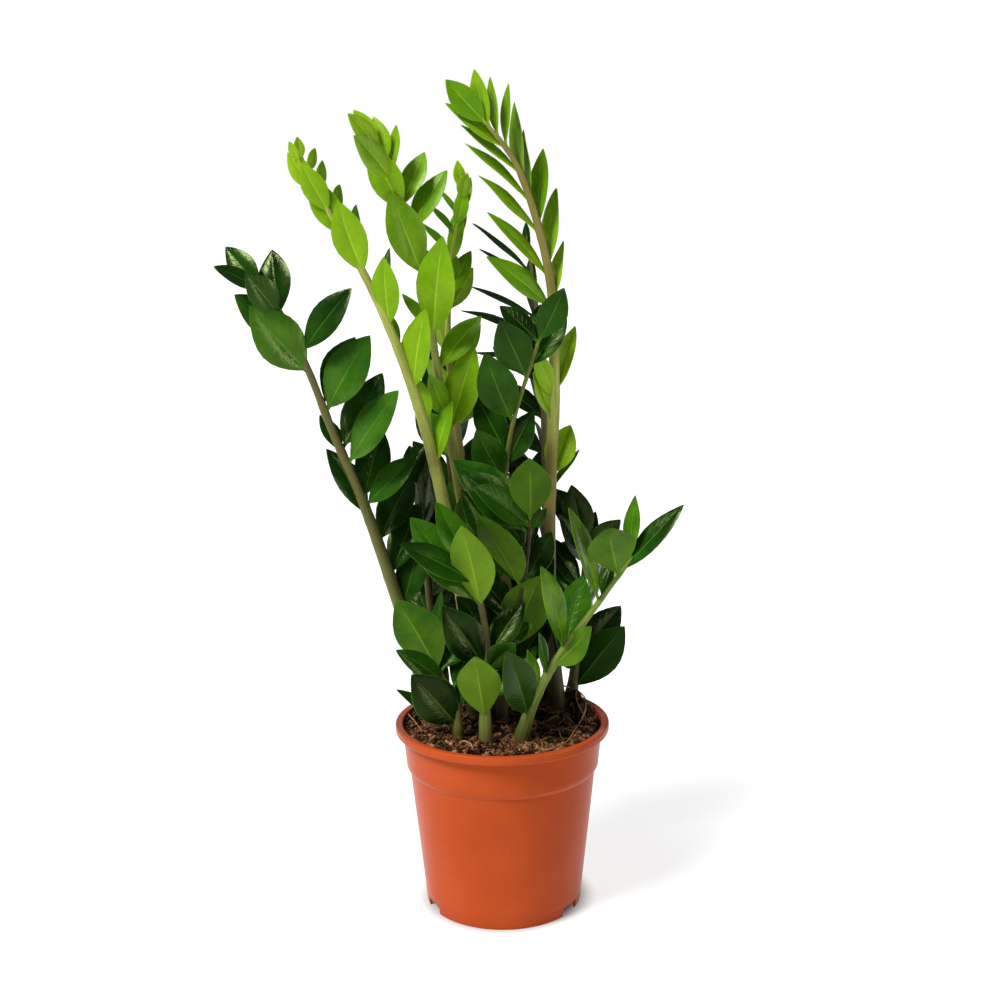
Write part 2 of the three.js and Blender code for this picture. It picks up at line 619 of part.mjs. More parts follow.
/** One frond: its stem with its leaflets grown onto it. */
function makeFrond(frond, frondIndex, leaflets) {
  const own = leaflets.filter((blade) => blade.frondIndex === frondIndex);
  const solid = own.reduce((joined, blade) => joined.add(bladeSolid(blade)), stemTube(frond, 0));
  return toMesh(frond.name, solid, COLOURS[frond.colour], 0.4);
}

// ---------------------------------------------------------------- soil

/** Height of the soil's top: level in the middle, raised at the wall, with mounds and crumbs. */
function soilHeight(x, y) {
  const radius = Math.hypot(x, y);
  const edge = THREE.MathUtils.smoothstep(radius, SOIL.rings.at(-1) - 4, POT.collarTopRadius);
  let height = THREE.MathUtils.lerp(SOIL.top, SOIL.edgeTop, edge);
  height += SOIL.ripple.height * Math.sin(x / SOIL.ripple.acrossX) * Math.sin(y / SOIL.ripple.acrossY + 1);
  for (const mound of SOIL.mounds) {
    const distance = Math.hypot(x - mound.x, y - mound.y) / mound.radius;
    height += mound.height * Math.exp(-distance * distance);
  }
  return height;
}

function makeSoil() {
  const inside = potInside(GAP);
  const [wallRadius] = inside.at(-1);
  const wall = [...inside, [wallRadius - 1.2, SOIL.edgeTop]];
  const top = SOIL.rings.slice().reverse().map((radius) => [radius, SOIL.top]);
  const body = reshape(turned([...wall, ...top], POT.sides), (vertex) => {
    const onTop = vertex.z > SOIL.top - 0.1 && Math.hypot(vertex.x, vertex.y) < wallRadius - 2;
    if (onTop) vertex.z = soilHeight(vertex.x, vertex.y);
  });
  const soil = FRONDS.reduce((left, frond) => left.subtract(stemTube(frond, GAP + 0.1)), toSolid(body));
  return toMesh('soil', soil, COLOURS.soil, 0.95);
}

// ---------------------------------------------------------------- the plant

const leaflets = placeLeaflets();
const plant = new THREE.Group();
plant.name = 'potted_zz_plant';
plant.add(makePot(), makeSoil());
FRONDS.forEach((frond, frondIndex) => plant.add(makeFrond(frond, frondIndex, leaflets)));

export default plant;
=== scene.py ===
"""The looks of the potted ZZ plant: fine leaflets and stems in place of each plain frond, a smooth
pot, crumbly soil with roots in it, a pale studio and the camera.

Shapes are worked out in millimetres, +Z up and -Y to the front, and new_piece turns them into
metres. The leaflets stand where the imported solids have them, because both follow one rule."""

import itertools
import math

import bpy
import numpy as np
from mathutils import Matrix, Vector


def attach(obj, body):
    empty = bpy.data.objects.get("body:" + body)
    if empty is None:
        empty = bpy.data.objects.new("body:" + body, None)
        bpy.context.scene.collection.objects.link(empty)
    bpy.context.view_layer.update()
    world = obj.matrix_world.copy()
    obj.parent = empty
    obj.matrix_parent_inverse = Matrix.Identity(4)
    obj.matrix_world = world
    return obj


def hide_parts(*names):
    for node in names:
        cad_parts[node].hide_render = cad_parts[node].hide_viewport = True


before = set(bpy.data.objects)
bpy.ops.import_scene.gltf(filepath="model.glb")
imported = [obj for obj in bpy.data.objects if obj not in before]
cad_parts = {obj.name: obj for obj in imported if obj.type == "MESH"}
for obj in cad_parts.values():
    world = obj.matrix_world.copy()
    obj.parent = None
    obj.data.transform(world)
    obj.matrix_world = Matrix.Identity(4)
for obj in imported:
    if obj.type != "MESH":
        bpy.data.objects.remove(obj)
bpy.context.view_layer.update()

METRES = 0.001  # one millimetre

# ---------------------------------------------------------------- sizes, as in the part

POT = dict(
    height=150, rim_radius=85, rim_inner=79, rim_depth=6.7,
    foot_radius=62.1, foot_width=1.6, shoulder_radius=74, shoulder_height=112,
    collar_radius=76.6, collar_step=4, collar_top=79.2, wall=1.2,
    base_radius=46, ramp=3.5, ramp_inset=0.65, channel_height=8,
    notch_height=7.5, notch_width=19, notch_angles=(-64, 57, 176),  # round the foot, 0 at the front
    drain_radius=4.5, drain_circle=55, drain_count=6,
)

SOIL = dict(
    top=145, edge_top=147.3, edge_from=60,
    ripple=1.6, ripple_x=6.1, ripple_y=5.3,
    mounds=((63, 33, 15, 17), (-56, 44, 13, 11), (-50, -36, 13, 5), (-20, -54, 12, 5),
            (2, -2, 40, 3)),  # x, y, radius, height
    mounds_fade=(66, 78),  # radii between which they level out
)

STEM_LAST_SHARE = 0.98  # the last leaflets leave the stem just short of its tip

BLADE = dict(
    wide=0.43, stalk=0.08,  # its width and its bare stalk, as shares of its length
    stalk_half_width=1.3,
    skew=0.97, point=0.88,  # below 1: the widest place moves to the root, and the ends are fuller
    fold=0.17,  # rise of the margins over the midrib, as a share of the way out to them
    arch=0.1,  # how far the tip bends back, as a share of the length
)

# How a leaflet keeps clear of what already stands there.
CLEAR = dict(
    blade=2.3,  # between the middles of two blades
    stem=1.8,  # between a blade and another frond's stem
    edge=1.5,  # past the outline
    rim=153, rim_share=0.3,  # leaflets stay above this height, apart from this first share of them
    stem_range=1.3, stem_step=80,  # stems are looked at this many lengths around, in so many steps
    own_share=0.32,  # neighbours on one stem may meet over this first share of their length,
    other_share=0.06,  # and leaflets of two fronds over this one
)
# Where a blade is tested: shares of its length, and of its half width.
SAMPLES_ALONG = (0.12, 0.25, 0.4, 0.55, 0.7, 0.85, 1)
SAMPLES_ACROSS = (-1, -0.5, 0, 0.5, 1)

# Changes of pose tried in turn, as (reach, lean, turn), and then the lengths to try them at.
BENDS = (
    (0, 0, 0), (7, 0, 0), (-7, 0, 0), (0, 5, 0), (0, -5, 0), (14, 0, 0), (-14, 0, 0),
    (0, 0, 20), (0, 0, -20), (8, 7, 0), (8, -7, 0), (-8, 7, 0), (-8, -7, 0), (22, 0, 0), (-22, 0, 0),
    (0, 12, 0), (0, -12, 0), (14, 12, 0), (14, -12, 0), (-14, 12, 0), (-14, -12, 0),
    (0, 0, 45), (0, 0, -45), (30, 0, 0), (-30, 0, 0), (22, 18, 0), (22, -18, 0), (-22, 18, 0),
    (-22, -18, 0), (20, 0, 40), (-20, 0, 40), (20, 0, -40), (-20, 0, -40), (40, 0, 0), (-40, 0, 0),
)
SHORTENING = (1, 0.85, 0.7)
POSE = ("lean", "reach", "turn", "long", "wide")

# stem: points from the foot in the soil to the tip. radii: of the stem, evenly from foot to tip.
# ranks: the rows of leaflets, with each leaflet's height on the stem, its lean from upright, its reach
# to the front, the turn of its upper face, its length and its width as a share of that. facing turns a
# whole row about the upright. A list shorter than its row is stretched evenly along it.
FRONDS = [
    dict(
        name="frond_front_low", colour="green", radii=[5.5, 3.6, 1.6],
        stem=[[-12, -55, 110], [-13, -46, 172], [-11, -42, 227], [-20, -46, 284]],
        ranks=[
            dict(height=[202, 205, 252], lean=[40, 37, -9], reach=[15, 25, 16], turn=[-40, -10, 160],
                 long=[32, 42, 78], wide=[0.44, 0.5, 0.44]),
            dict(height=[166, 204, 255, 272, 284], lean=[-6, -29, -35, -48, -25],
                 reach=[26, 15, -2, 15, 10], turn=[180, 23, 35, 60, 44], long=[74, 64, 86, 68, 62],
                 wide=[0.45, 0.48, 0.44, 0.42, 0.44]),
            dict(height=[180, 214], count=2, lean=[44, 34], reach=[-14, -24], turn=-25, long=[58, 52]),
        ],
    ),
    dict(
        name="frond_right_low", colour="green", radii=[6, 3.2, 1.3],
        stem=[[5, -40, 110], [19, -39, 163], [38, -40, 205], [68, -45, 250], [99, -52, 295]],
        ranks=[
            dict(height=[165, 185, 198, 219, 258, 279], lean=[-11, -9, -4, -9, -12, -13],
                 reach=[25, 8, 15, 20, 18, 38], turn=[31, 45, 60, 50, 60, 180],
                 long=[73, 36, 39, 77, 84, 66], wide=[0.42, 0.32, 0.36, 0.31, 0.3, 0.55]),
            dict(height=[205, 222, 261, 281, 295], lean=[42, 17, 18, 37, 1], reach=[20, -20, -15, 5, -10],
                 turn=[130, 0, -39, -52, -50], long=[53, 58, 32, 70, 49],
                 wide=[0.44, 0.44, 0.44, 0.29, 0.34]),
        ],
    ),
    dict(
        name="frond_left_low", colour="green", radii=[5, 3.2, 1.6],
        stem=[[-34, -36, 110], [-34, -37, 150], [-37, -36, 180], [-52, -33, 208]],
        ranks=[
            dict(height=[157, 158, 190], lean=[-51, -34, -46], reach=[8, 14, 18], turn=[50, 20, 40],
                 long=[57, 60, 52], wide=[0.22, 0.58, 0.36]),
            dict(height=[184, 199, 206], lean=[-34, -27, 0], reach=[-16, -4, -8], turn=[0, 165, -50],
                 long=[54, 68, 60], wide=[0.4, 0.6, 0.3]),
            dict(height=[170, 200], count=3, lean=[22, 26], reach=[-12, -25], turn=-20, long=[62, 56]),
        ],
    ),
    dict(
        name="frond_centre", colour="green", radii=[5.5, 3.4, 2.4, 1.5],
        stem=[[-5, 0, 110], [3, -2, 180], [12, -11, 235], [19, -21, 280], [23, -28, 320]],
        ranks=[
            dict(height=[207, 220, 310, 320], lean=[19, 35, 36, -1], reach=[25, 20, 15, 24],
                 turn=[180, -60, -9, 180], long=[74, 32, 22, 62], wide=[0.52, 0.44, 0.44, 0.52]),
            dict(height=[261, 306, 312, 314], lean=[-21, -41, -44, -46], reach=[25, 15, 15, 10],
                 turn=[140, 35, 50, 30], long=[86, 74, 62, 76]),
            dict(height=[176, 292], count=5, lean=[-44, -30], reach=[10, -20], turn=30, long=[64, 60]),
            dict(height=[186, 262], count=4, lean=[36, 30], reach=[-15, -30], turn=-25, long=[62, 54]),
        ],
    ),
    dict(
        name="frond_bright_left", colour="bright", radii=[6.5, 6, 4.8, 3.4, 1.4],
        stem=[[-20, 15, 110], [-26, 14, 212], [-42, 9, 314], [-63, 0, 407], [-95, -9, 493],
              [-149, -16, 594]],
        ranks=[
            dict(height=[354, 386, 412, 461, 500, 528, 546, 562, 575, 587],
                 lean=[11, -4, 6, -5, -18, -30, -28, -36, -32, -26],
                 reach=[10, 10, 18, 18, 15, 18, 15, 12, 10, 8],
                 turn=[-52, 0, -39, -23, 0, 0, 0, 0, -32, -12],
                 long=[54, 36, 68, 56, 60, 51, 43, 36, 23, 17],
                 wide=[0.42, 0.44, 0.42, 0.43, 0.42, 0.43, 0.46, 0.42]),
            dict(height=[444, 486, 523, 545, 562, 576, 588], lean=[-16, 22, 14, 17, 12, 10, -4],
                 reach=[-25, -30, -25, -20, -20, -15, -8], turn=[65, 66, 59, 51, 51, 49, 30],
                 long=[42, 43, 35, 30, 26, 23, 20]),
        ],
    ),
    dict(
        name="frond_bright_middle", colour="bright", radii=[6.5, 5, 3.8, 2.4, 1.2],
        stem=[[-5, 40, 110], [-17, 36, 222], [-31, 29, 325], [-46, 17, 420], [-60, 8, 512],
              [-90, 0, 604]],
        ranks=[
            dict(height=[283, 377, 427, 451, 531, 550, 571], lean=[-4, 15, 37, 4, 27, 19, 1],
                 reach=[20, 12, -10, 22, -8, -18, -15], turn=[-20, -25, -28, -33, -37, -30, -51],
                 long=[50, 71, 54, 83, 56, 49, 43]),
            dict(height=[286, 373, 390, 455, 498, 546, 570, 580, 588, 595],
                 lean=[-14, -37, -15, -32, -17, -26, -34, -14, -34, -32],
                 reach=[2, -10, 10, -20, 15, 12, 15, -10, 20, 5],
                 turn=[30, 13, 34, 60, 23, 0, 33, 0, 40, 20],
                 long=[54, 26, 43, 42, 69, 55, 48, 40, 40, 33], wide=[0.5, 0.44, 0.44, 0.46, 0.44]),
        ],
    ),
    dict(
        name="frond_tall_right", colour="bright", radii=[7, 5.2, 4.6, 3, 1.2], wide=0.29,
        stem=[[50, 26, 110], [41, 26, 207], [39, 24, 310], [43, 21, 410], [40, 15, 495], [18, 0, 574],
              [-10, -13, 614]],
        ranks=[
            dict(height=[386, 402, 473, 496, 529, 553, 574, 591, 609],
                 lean=[-18, -19, -47, -38, -41, -43, -46, -49, -43],
                 reach=[15, 15, 12, 10, 10, 10, 8, 8, 10], turn=[39, 20, 43, 60, 62, 64, 62, 45, 0],
                 long=[44, 46, 66, 70, 65, 66, 57, 57, 44],
                 wide=[0.34, 0.34, 0.32, 0.26, 0.24, 0.23, 0.24, 0.3, 0.45]),
            dict(height=[330, 341, 405, 477, 502, 534, 552, 566, 593, 600, 607],
                 lean=[34, 21, 13, 5, 1, -1, -11, -12, -2, -12, -18],
                 reach=[-25, -10, -12, -10, -8, -8, -5, -5, 0, 0, 5],
                 turn=[-60, -11, -49, -58, -56, -50, -60, -60, -60, -58, -34],
                 long=[44, 45, 59, 50, 64, 61, 56, 62, 46, 44, 43],
                 wide=[0.2, 0.55, 0.38, 0.34, 0.36, 0.36, 0.32, 0.32, 0.3, 0.34, 0.36]),
        ],
    ),
    dict(
        name="frond_dark_middle", colour="green", radii=[5.5, 3.4, 2.6, 1.8, 1.2],
        stem=[[20, 38, 110], [9, 28, 224], [2, 18, 300], [9, 5, 380], [32, -6, 456]],
        ranks=[
            dict(height=[340, 362, 388, 423, 452], lean=[-26, -28, -21, -24, -44],
                 reach=[20, -15, 18, 25, -15], turn=[0, 0, 0, 0, 30], long=[50, 54, 60, 52, 42],
                 wide=[0.54, 0.46, 0.52, 0.56, 0.44]),
            dict(height=[300, 352, 430, 446, 455], lean=[30, 24, 34, 11, 25],
                 reach=[20, 10, -10, -25, 15], turn=[-20, -20, -25, -22, 0], long=[52, 50, 50, 40, 46],
                 wide=[0.46, 0.46, 0.44, 0.44, 0.49]),
            dict(height=[215, 320], count=4, lean=[-34, -30], reach=[10, -10], turn=25, long=[62, 56]),
            dict(height=[205, 270], count=3, lean=[34, 28], reach=[0, -20], turn=-25, long=[62, 58]),
        ],
    ),
    dict(
        name="frond_dark_left", colour="dark", radii=[6.5, 5.6, 4, 2.8, 1.5],
        stem=[[-48, -4, 110], [-69, 8, 203], [-86, 14, 258], [-106, 3, 326], [-127, -7, 384],
              [-149, -16, 447], [-177, -21, 496]],
        ranks=[
            dict(height=[323, 328, 357, 368, 398, 405, 444, 471], lean=[42, 15, 31, 25, 29, 26, 36, -10],
                 reach=[10, -15, 20, -20, 12, -22, 8, -18], turn=[-38, 0, -44, -31, -22, 0, -32, -13],
                 long=[58, 60, 76, 71, 70, 61, 63, 55],
                 wide=[0.43, 0.46, 0.45, 0.46, 0.5, 0.46, 0.43, 0.5]),
            dict(height=[313, 366, 428, 451, 471, 491, 494], lean=[-26, -28, -35, -46, -28, -56, -42],
                 reach=[0, -15, 20, 10, 26, 10, -12], turn=[51, 40, 25, 30, 24, 50, 0],
                 long=[64, 36, 69, 58, 46, 40, 49], wide=[0.43, 0.43, 0.54, 0.48, 0.5, 0.43, 0.43]),
            dict(height=[236, 292], count=3, lean=[14, 26], reach=[-10, -30], turn=-20, long=[62, 66]),
        ],
    ),
    dict(
        name="frond_bright_back", colour="bright", radii=[6, 4.6, 3.2, 2, 1.2], wide=0.42,
        stem=[[4, 58, 110], [-9, 58, 233], [-28, 55, 330], [-39, 52, 430], [-37, 49, 500],
              [-23, 44, 577]],
        ranks=[
            dict(height=[481, 495, 506, 518, 534, 543, 556, 562], lean=[24, 18, 11, 10, 10, 14, 12, -12],
                 reach=[10, 10, 10, -15, 15, 10, 8, 15], turn=[-25, 0, -45, -40, -33, -37, -15, -22],
                 long=[41, 22, 40, 40, 34, 32, 28, 25]),
            dict(height=[492, 512, 529, 543], lean=[-36, -36, -34, -30], reach=-15, turn=60,
                 long=[44, 38, 33, 28], wide=0.3),
            dict(height=[330, 470], count=4, facing=170, lean=[-36, -26], reach=[14, 10], turn=30,
                 long=[56, 40]),
            dict(height=[345, 478], count=4, facing=170, lean=[34, 12], reach=[14, 10], turn=-30,
                 long=[56, 40]),
        ],
    ),
    dict(
        name="frond_right_back", colour="dark", radii=[5.5, 4, 2.6, 1.5],
        stem=[[50, 42, 110], [61, 46, 180], [67, 51, 244], [72, 54, 288]],
        ranks=[
            dict(height=[158, 183, 270, 276], lean=[36, 42, 10, 46], reach=[10, -10, -15, -5],
                 turn=[165, 0, -40, 0], long=[76, 59, 38, 38], wide=[0.44, 0.5, 0.44, 0.5]),
            dict(height=[278, 284], lean=[-14, -32], reach=[10, -10], turn=[0, 20], long=[54, 50],
                 wide=[0.48, 0.5]),
            dict(height=[175, 262], count=5, facing=20, lean=[-30, -26], reach=[10, -10], turn=30,
                 long=[62, 54]),
            dict(height=[200, 264], count=4, facing=95, lean=[36, 26], reach=[20, 10], turn=-20,
                 long=[60, 52]),
        ],
    ),
    dict(
        name="frond_dark_tall", colour="dark", radii=[5.5, 4.4, 3, 1.9, 1.2],
        stem=[[38, 50, 110], [40, 58, 232], [38, 62, 316], [36, 65, 400], [31, 66, 470], [23, 62, 529]],
        ranks=[
            dict(height=[427, 447, 463, 487, 498], lean=[-76, -65, -59, -49, -44],
                 reach=[-10, -5, -5, 0, 0], turn=74, long=[56, 68, 60, 54, 62], wide=0.24),
            dict(height=[478, 512], lean=[-11, -10], reach=-10, turn=-56, long=[36, 28]),
            dict(height=[262, 410], count=6, lean=[-42, -50], reach=[-10, -25], turn=50, long=[62, 56]),
            dict(height=[255, 450], count=6, facing=130, lean=[40, 24], reach=[10, 5], turn=-30,
                 long=[62, 46]),
        ],
    ),
    dict(
        name="frond_left_back", colour="dark", radii=[5.5, 4, 2.6, 1.5],
        stem=[[-40, 43, 110], [-54, 48, 200], [-62, 50, 280], [-66, 50, 332]],
        ranks=[
            dict(height=[262, 292, 326], lean=[-9, 4, 14], reach=[0, 10, -15], turn=[-33, -46, -20],
                 long=[58, 62, 44]),
            dict(height=[300, 328], lean=[-14, -12], reach=[0, -20], turn=[31, 20], long=[34, 42]),
            dict(height=[192, 204, 220, 240, 270, 300], facing=-100, lean=[-36, -22, -34, -32, -30, -26],
                 reach=[16, 24, 14, 12, 12, 10], turn=[25, 75, 60, 25, 25, 25],
                 long=[62, 60, 60, 58, 56, 54]),
            dict(height=[190, 282], count=5, lean=[30, 22], reach=[20, -20], turn=-30, long=[62, 56]),
        ],
    ),
    dict(
        name="frond_rear_left", colour="dark", radii=[5.5, 4, 2.6, 1.5],
        stem=[[-18, 60, 110], [-26, 68, 190], [-34, 76, 270], [-42, 82, 350], [-48, 84, 412]],
        ranks=[
            dict(height=[204, 404], count=8, facing=-150, lean=[-42, -20], reach=[18, 8], turn=[30, 15],
                 long=[64, 46]),
            dict(height=[212, 400], count=8, facing=-150, lean=[40, 22], reach=[18, 8], turn=[-30, -15],
                 long=[64, 46]),
        ],
    ),
    dict(
        name="frond_rear", colour="dark", radii=[5, 3.8, 2.5, 1.5],
        stem=[[20, 58, 110], [23, 63, 180], [27, 82, 250], [25, 102, 320]],
        ranks=[
            dict(height=[190, 312], count=6, facing=155, lean=[-42, -20], reach=[20, 8], turn=[30, 15],
                 long=[62, 48]),
            dict(height=[197, 308], count=6, facing=155, lean=[42, 22], reach=[20, 8], turn=[-30, -15],
                 long=[62, 48]),
        ],
    ),
]

# ---------------------------------------------------------------- where the leaflets stand

def stretched(values, share):
    """A value out of a list that is stretched evenly over shares 0 to 1."""
    if np.isscalar(values):
        return values + 0 * share
    return np.interp(share, np.linspace(0, 1, len(values)), values)


def line_at(points, share):
    """Points at shares of a smooth line through points: each stretch is the cubic whose slope at
    either end is half the step from the point before to the point after."""
    points = np.asarray(points, float)
    share = np.asarray(share, float)
    last = len(points) - 1
    start = np.minimum((share * last).astype(int), last - 1)
    w = (share * last - start)[..., None]
    padded = np.vstack([2 * points[0] - points[1], points, 2 * points[-1] - points[-2]])
    before, a, b, after = (padded[start + step] for step in range(4))
    slope_a = 0.5 * (b - before)
    slope_b = 0.5 * (after - a)
    return (a + slope_a * w + (3 * (b - a) - 2 * slope_a - slope_b) * w ** 2
            + (2 * (a - b) + slope_a + slope_b) * w ** 3)


def share_at_height(points, height):
    """The share of a stem's line at which it reaches a height, by halving."""
    low, high = 0.0, 1.0
    for _ in range(24):
        middle = (low + high) / 2
        if line_at(points, middle)[2] < height:
            low = middle
        else:
            high = middle
    return min(low, STEM_LAST_SHARE)


def half_width(wide, share):
    """Half a blade's width: a slim stalk, then half the width times sin(pi s^skew)^point, where s runs
    from 0 at the end of the stalk to 1 at the tip."""
    opened = np.maximum(0, (share - BLADE["stalk"]) / (1 - BLADE["stalk"]))
    oval = 0.5 * wide * np.abs(np.sin(np.pi * opened ** BLADE["skew"])) ** BLADE["point"]
    return np.maximum(oval, BLADE["stalk_half_width"] * (1 - share))


def surface_height(across, along, long):
    """The blade's middle surface over its root plane: folded up at the margins, arched back along."""
    return BLADE["fold"] * np.abs(across) - BLADE["arch"] * along * along / long


def on_blade(blade, x, y, z):
    """The points at distances across, along and above a blade."""
    return (blade["root"] + x[..., None] * blade["across"] + y[..., None] * blade["along"]
            + z[..., None] * blade["up"])


def place_blade(owner, root, long, wide, lean, reach, turn, facing):
    """A leaflet's root and its axes across, along and out of its upper face, with its sample points.
    Along is (sin lean cos reach, -sin reach, cos lean cos reach), turned by facing about the upright."""
    lean, reach, turn, facing = np.radians((lean, reach, turn, facing))
    about = np.array([[math.cos(facing), -math.sin(facing), 0], [math.sin(facing), math.cos(facing), 0],
                      [0, 0, 1]])
    along = about @ (math.sin(lean) * math.cos(reach), -math.sin(reach), math.cos(lean) * math.cos(reach))
    right = np.cross(along, about @ (0, -1, 0))
    right /= np.linalg.norm(right)
    front = np.cross(right, along)
    up = front * math.cos(turn) + right * math.sin(turn)
    blade = dict(owner=owner, root=root, along=along, up=up, across=np.cross(along, up),
                 long=long, wide=long * wide)
    shares, sides = np.meshgrid(SAMPLES_ALONG, SAMPLES_ACROSS, indexing="ij")
    x = sides * half_width(blade["wide"], shares)
    y = shares * long
    blade["samples"] = on_blade(blade, x, y, surface_height(x, y, long)).reshape(-1, 3)
    return blade


SAMPLE_SHARES = np.repeat(SAMPLES_ALONG, len(SAMPLES_ACROSS))


def heights_over(blades, points, margin, first_share):
    """How far points lie over blades' surfaces, or nan where they are past the outline."""
    offset = points - blades["root"][..., None, :]
    x, y, z = (np.sum(offset * blades[axis][..., None, :], -1) for axis in ("across", "along", "up"))
    long, wide = blades["long"][..., None], blades["wide"][..., None]
    inside = (y >= first_share * long) & (y <= long + margin)
    inside &= np.abs(x) <= half_width(wide, np.clip(y / long, 0, 1)) + margin
    return np.where(inside, z - surface_height(x, y, long), np.nan)


def touches(samples, blades, first_share):
    """Whether sample points come too close to blades, or lie on both sides of them."""
    height = heights_over(blades, samples, CLEAR["edge"], first_share)
    height = np.where(SAMPLE_SHARES < first_share, np.nan, height)
    near = np.any(np.abs(height) < CLEAR["blade"], -1)
    return near | (np.any(height > 0, -1) & np.any(height <= 0, -1))


def is_clear(blade, placed, count, stems):
    """Whether a new blade stands clear of the rim, the other stems and every placed blade."""
    low = blade["samples"][:, 2] < CLEAR["rim"]
    if np.any(low & (SAMPLE_SHARES > CLEAR["rim_share"])):
        return False
    one = {key: np.asarray(blade[key]) for key in ("root", "along", "across", "up", "long", "wide")}
    near = stems["owner"] != blade["owner"]
    near &= np.linalg.norm(stems["point"] - blade["root"], axis=1) <= CLEAR["stem_range"] * blade["long"]
    margin = stems["radius"][near] + CLEAR["stem"]
    if np.any(np.abs(heights_over(one, stems["point"][near], margin, 0)) < margin):
        return False
    others = {key: value[:count] for key, value in placed.items()}
    close = np.linalg.norm(others["root"] - blade["root"], axis=1) <= blade["long"] + others["long"]
    others = {key: value[close] for key, value in others.items()}
    same = others["owner"] == blade["owner"]
    first = np.where(same, CLEAR["own_share"], CLEAR["other_share"])[:, None]
    if np.any(touches(blade["samples"], others, first)):
        return False
    return not np.any(touches(others["samples"], one, first))


def stem_points():
    """Points along every stem, with its radius there and the number of its frond."""
    share = np.linspace(0, 1, CLEAR["stem_step"] + 1)
    return dict(
        owner=np.repeat(np.arange(len(FRONDS)), len(share)),
        point=np.concatenate([line_at(frond["stem"], share) for frond in FRONDS]),
        radius=np.concatenate([stretched(frond["radii"], share) for frond in FRONDS]),
    )


def clear_blade(owner, root, wanted, facing, placed, count, stems):
    """The blade in the pose nearest to the wanted one that is clear of what stands already, or None.
    wanted holds its lean, reach, turn, length and width."""
    lean, reach, turn, long, wide = wanted
    for shorter, (more_reach, more_lean, more_turn) in itertools.product(SHORTENING, BENDS):
        blade = place_blade(owner, root, long * shorter, wide, lean + more_lean, reach + more_reach,
                            turn + more_turn, facing)
        if is_clear(blade, placed, count, stems):
            return blade
    return None


def place_leaflets():
    """Every leaflet, in the order in which they claim their room. One that finds no clear pose is left
    out. place is its share of its row, and share that of the stem where it leaves it."""
    most = sum(rank.get("count", np.size(rank["height"])) for frond in FRONDS for rank in frond["ranks"])
    placed = {key: np.zeros((most, 3)) for key in ("root", "along", "across", "up")}
    placed |= {key: np.zeros(most) for key in ("long", "wide", "owner", "share", "rank", "place")}
    placed["samples"] = np.zeros((most, len(SAMPLE_SHARES), 3))
    stems = stem_points()
    count = 0
    for owner, frond in enumerate(FRONDS):
        for number, rank in enumerate(frond["ranks"]):
            values = {"wide": frond.get("wide", BLADE["wide"]), **rank}
            for place in np.linspace(0, 1, rank.get("count", np.size(rank["height"]))):
                wanted = [float(stretched(values[key], place)) for key in POSE]
                share = share_at_height(frond["stem"], float(stretched(rank["height"], place)))
                root = line_at(frond["stem"], share)
                blade = clear_blade(owner, root, wanted, rank.get("facing", 0), placed, count, stems)
                if blade is None:
                    continue
                for key, value in (blade | dict(share=share, rank=number, place=place)).items():
                    placed[key][count] = value
                count += 1
    return {key: value[:count] for key, value in placed.items()}


# ---------------------------------------------------------------- pieces from arrays

def new_piece(name, points, faces, material, node, slot, uv=None, crease=None, **values):
    """A piece that stands for a node, from points in millimetres and arrays of triangles or quads.
    A value has one number for each point or for each face. Edges bent past crease stay sharp."""
    corners = np.concatenate([part.ravel() for part in faces]).astype(np.int32)
    sizes = np.concatenate([np.full(len(part), part.shape[1]) for part in faces])
    mesh = bpy.data.meshes.new(name)
    mesh.vertices.add(len(points))
    mesh.vertices.foreach_set("co", (points * METRES).astype(np.float32).ravel())
    mesh.loops.add(len(corners))
    mesh.loops.foreach_set("vertex_index", corners)
    mesh.polygons.add(len(sizes))
    mesh.polygons.foreach_set("loop_start", np.concatenate([[0], np.cumsum(sizes)[:-1]]).astype(np.int32))
    mesh.update(calc_edges=True)
    mesh.polygons.foreach_set("use_smooth", np.ones(len(sizes), bool))
    if crease is not None:
        mesh.set_sharp_from_angle(angle=math.radians(crease))
    if uv is not None:
        mesh.uv_layers.new(name="UVMap").data.foreach_set("uv", uv[corners].astype(np.float32).ravel())
    for key, value in values.items():
        domain = "POINT" if len(value) == len(points) else "FACE"
        mesh.attributes.new(key, "FLOAT", domain).data.foreach_set("value", value.astype(np.float32))
    mesh.materials.append(material)
    piece = bpy.data.objects.new(name, mesh)
    bpy.context.scene.collection.objects.link(piece)
    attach(piece, "root")
    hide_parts(node)
    return piece


def ring_quads(rows, columns, closed=False):
    """Quads of a grid whose points go ring by ring, closed round each ring. With the rings running
    counterclockwise about the way the rows go, they face outwards. closed also joins last to first."""
    row, column = np.meshgrid(np.arange(rows if closed else rows - 1), np.arange(columns), indexing="ij")
    here, above = row * columns, (row + 1) % rows * columns
    after = (column + 1) % columns
    return np.stack([here + column, here + after, above + after, above + column], -1).reshape(-1, 4)


def pole_fan(first, columns, pole, ending):
    """Triangles from the ring that starts at point first to a pole: the one it ends in, or begins at."""
    ring = first + np.arange(columns)
    pair = (ring, np.roll(ring, -1)) if ending else (np.roll(ring, -1), ring)
    return np.stack([*pair, np.full(columns, pole)], -1)


def repeated(faces, count, step):
    """The faces of one shape, again for each of count shapes whose points follow each other."""
    return (faces[None] + (np.arange(count) * step)[:, None, None]).reshape(-1, faces.shape[1])


def capped_faces(rows, columns, count=1):
    """Faces of count ring grids whose rows end in two poles, stored after the rings of each."""
    step = rows * columns + 2
    fans = np.concatenate([pole_fan(0, columns, step - 2, False),
                           pole_fan((rows - 1) * columns, columns, step - 1, True)])
    return [repeated(ring_quads(rows, columns), count, step), repeated(fans, count, step)]


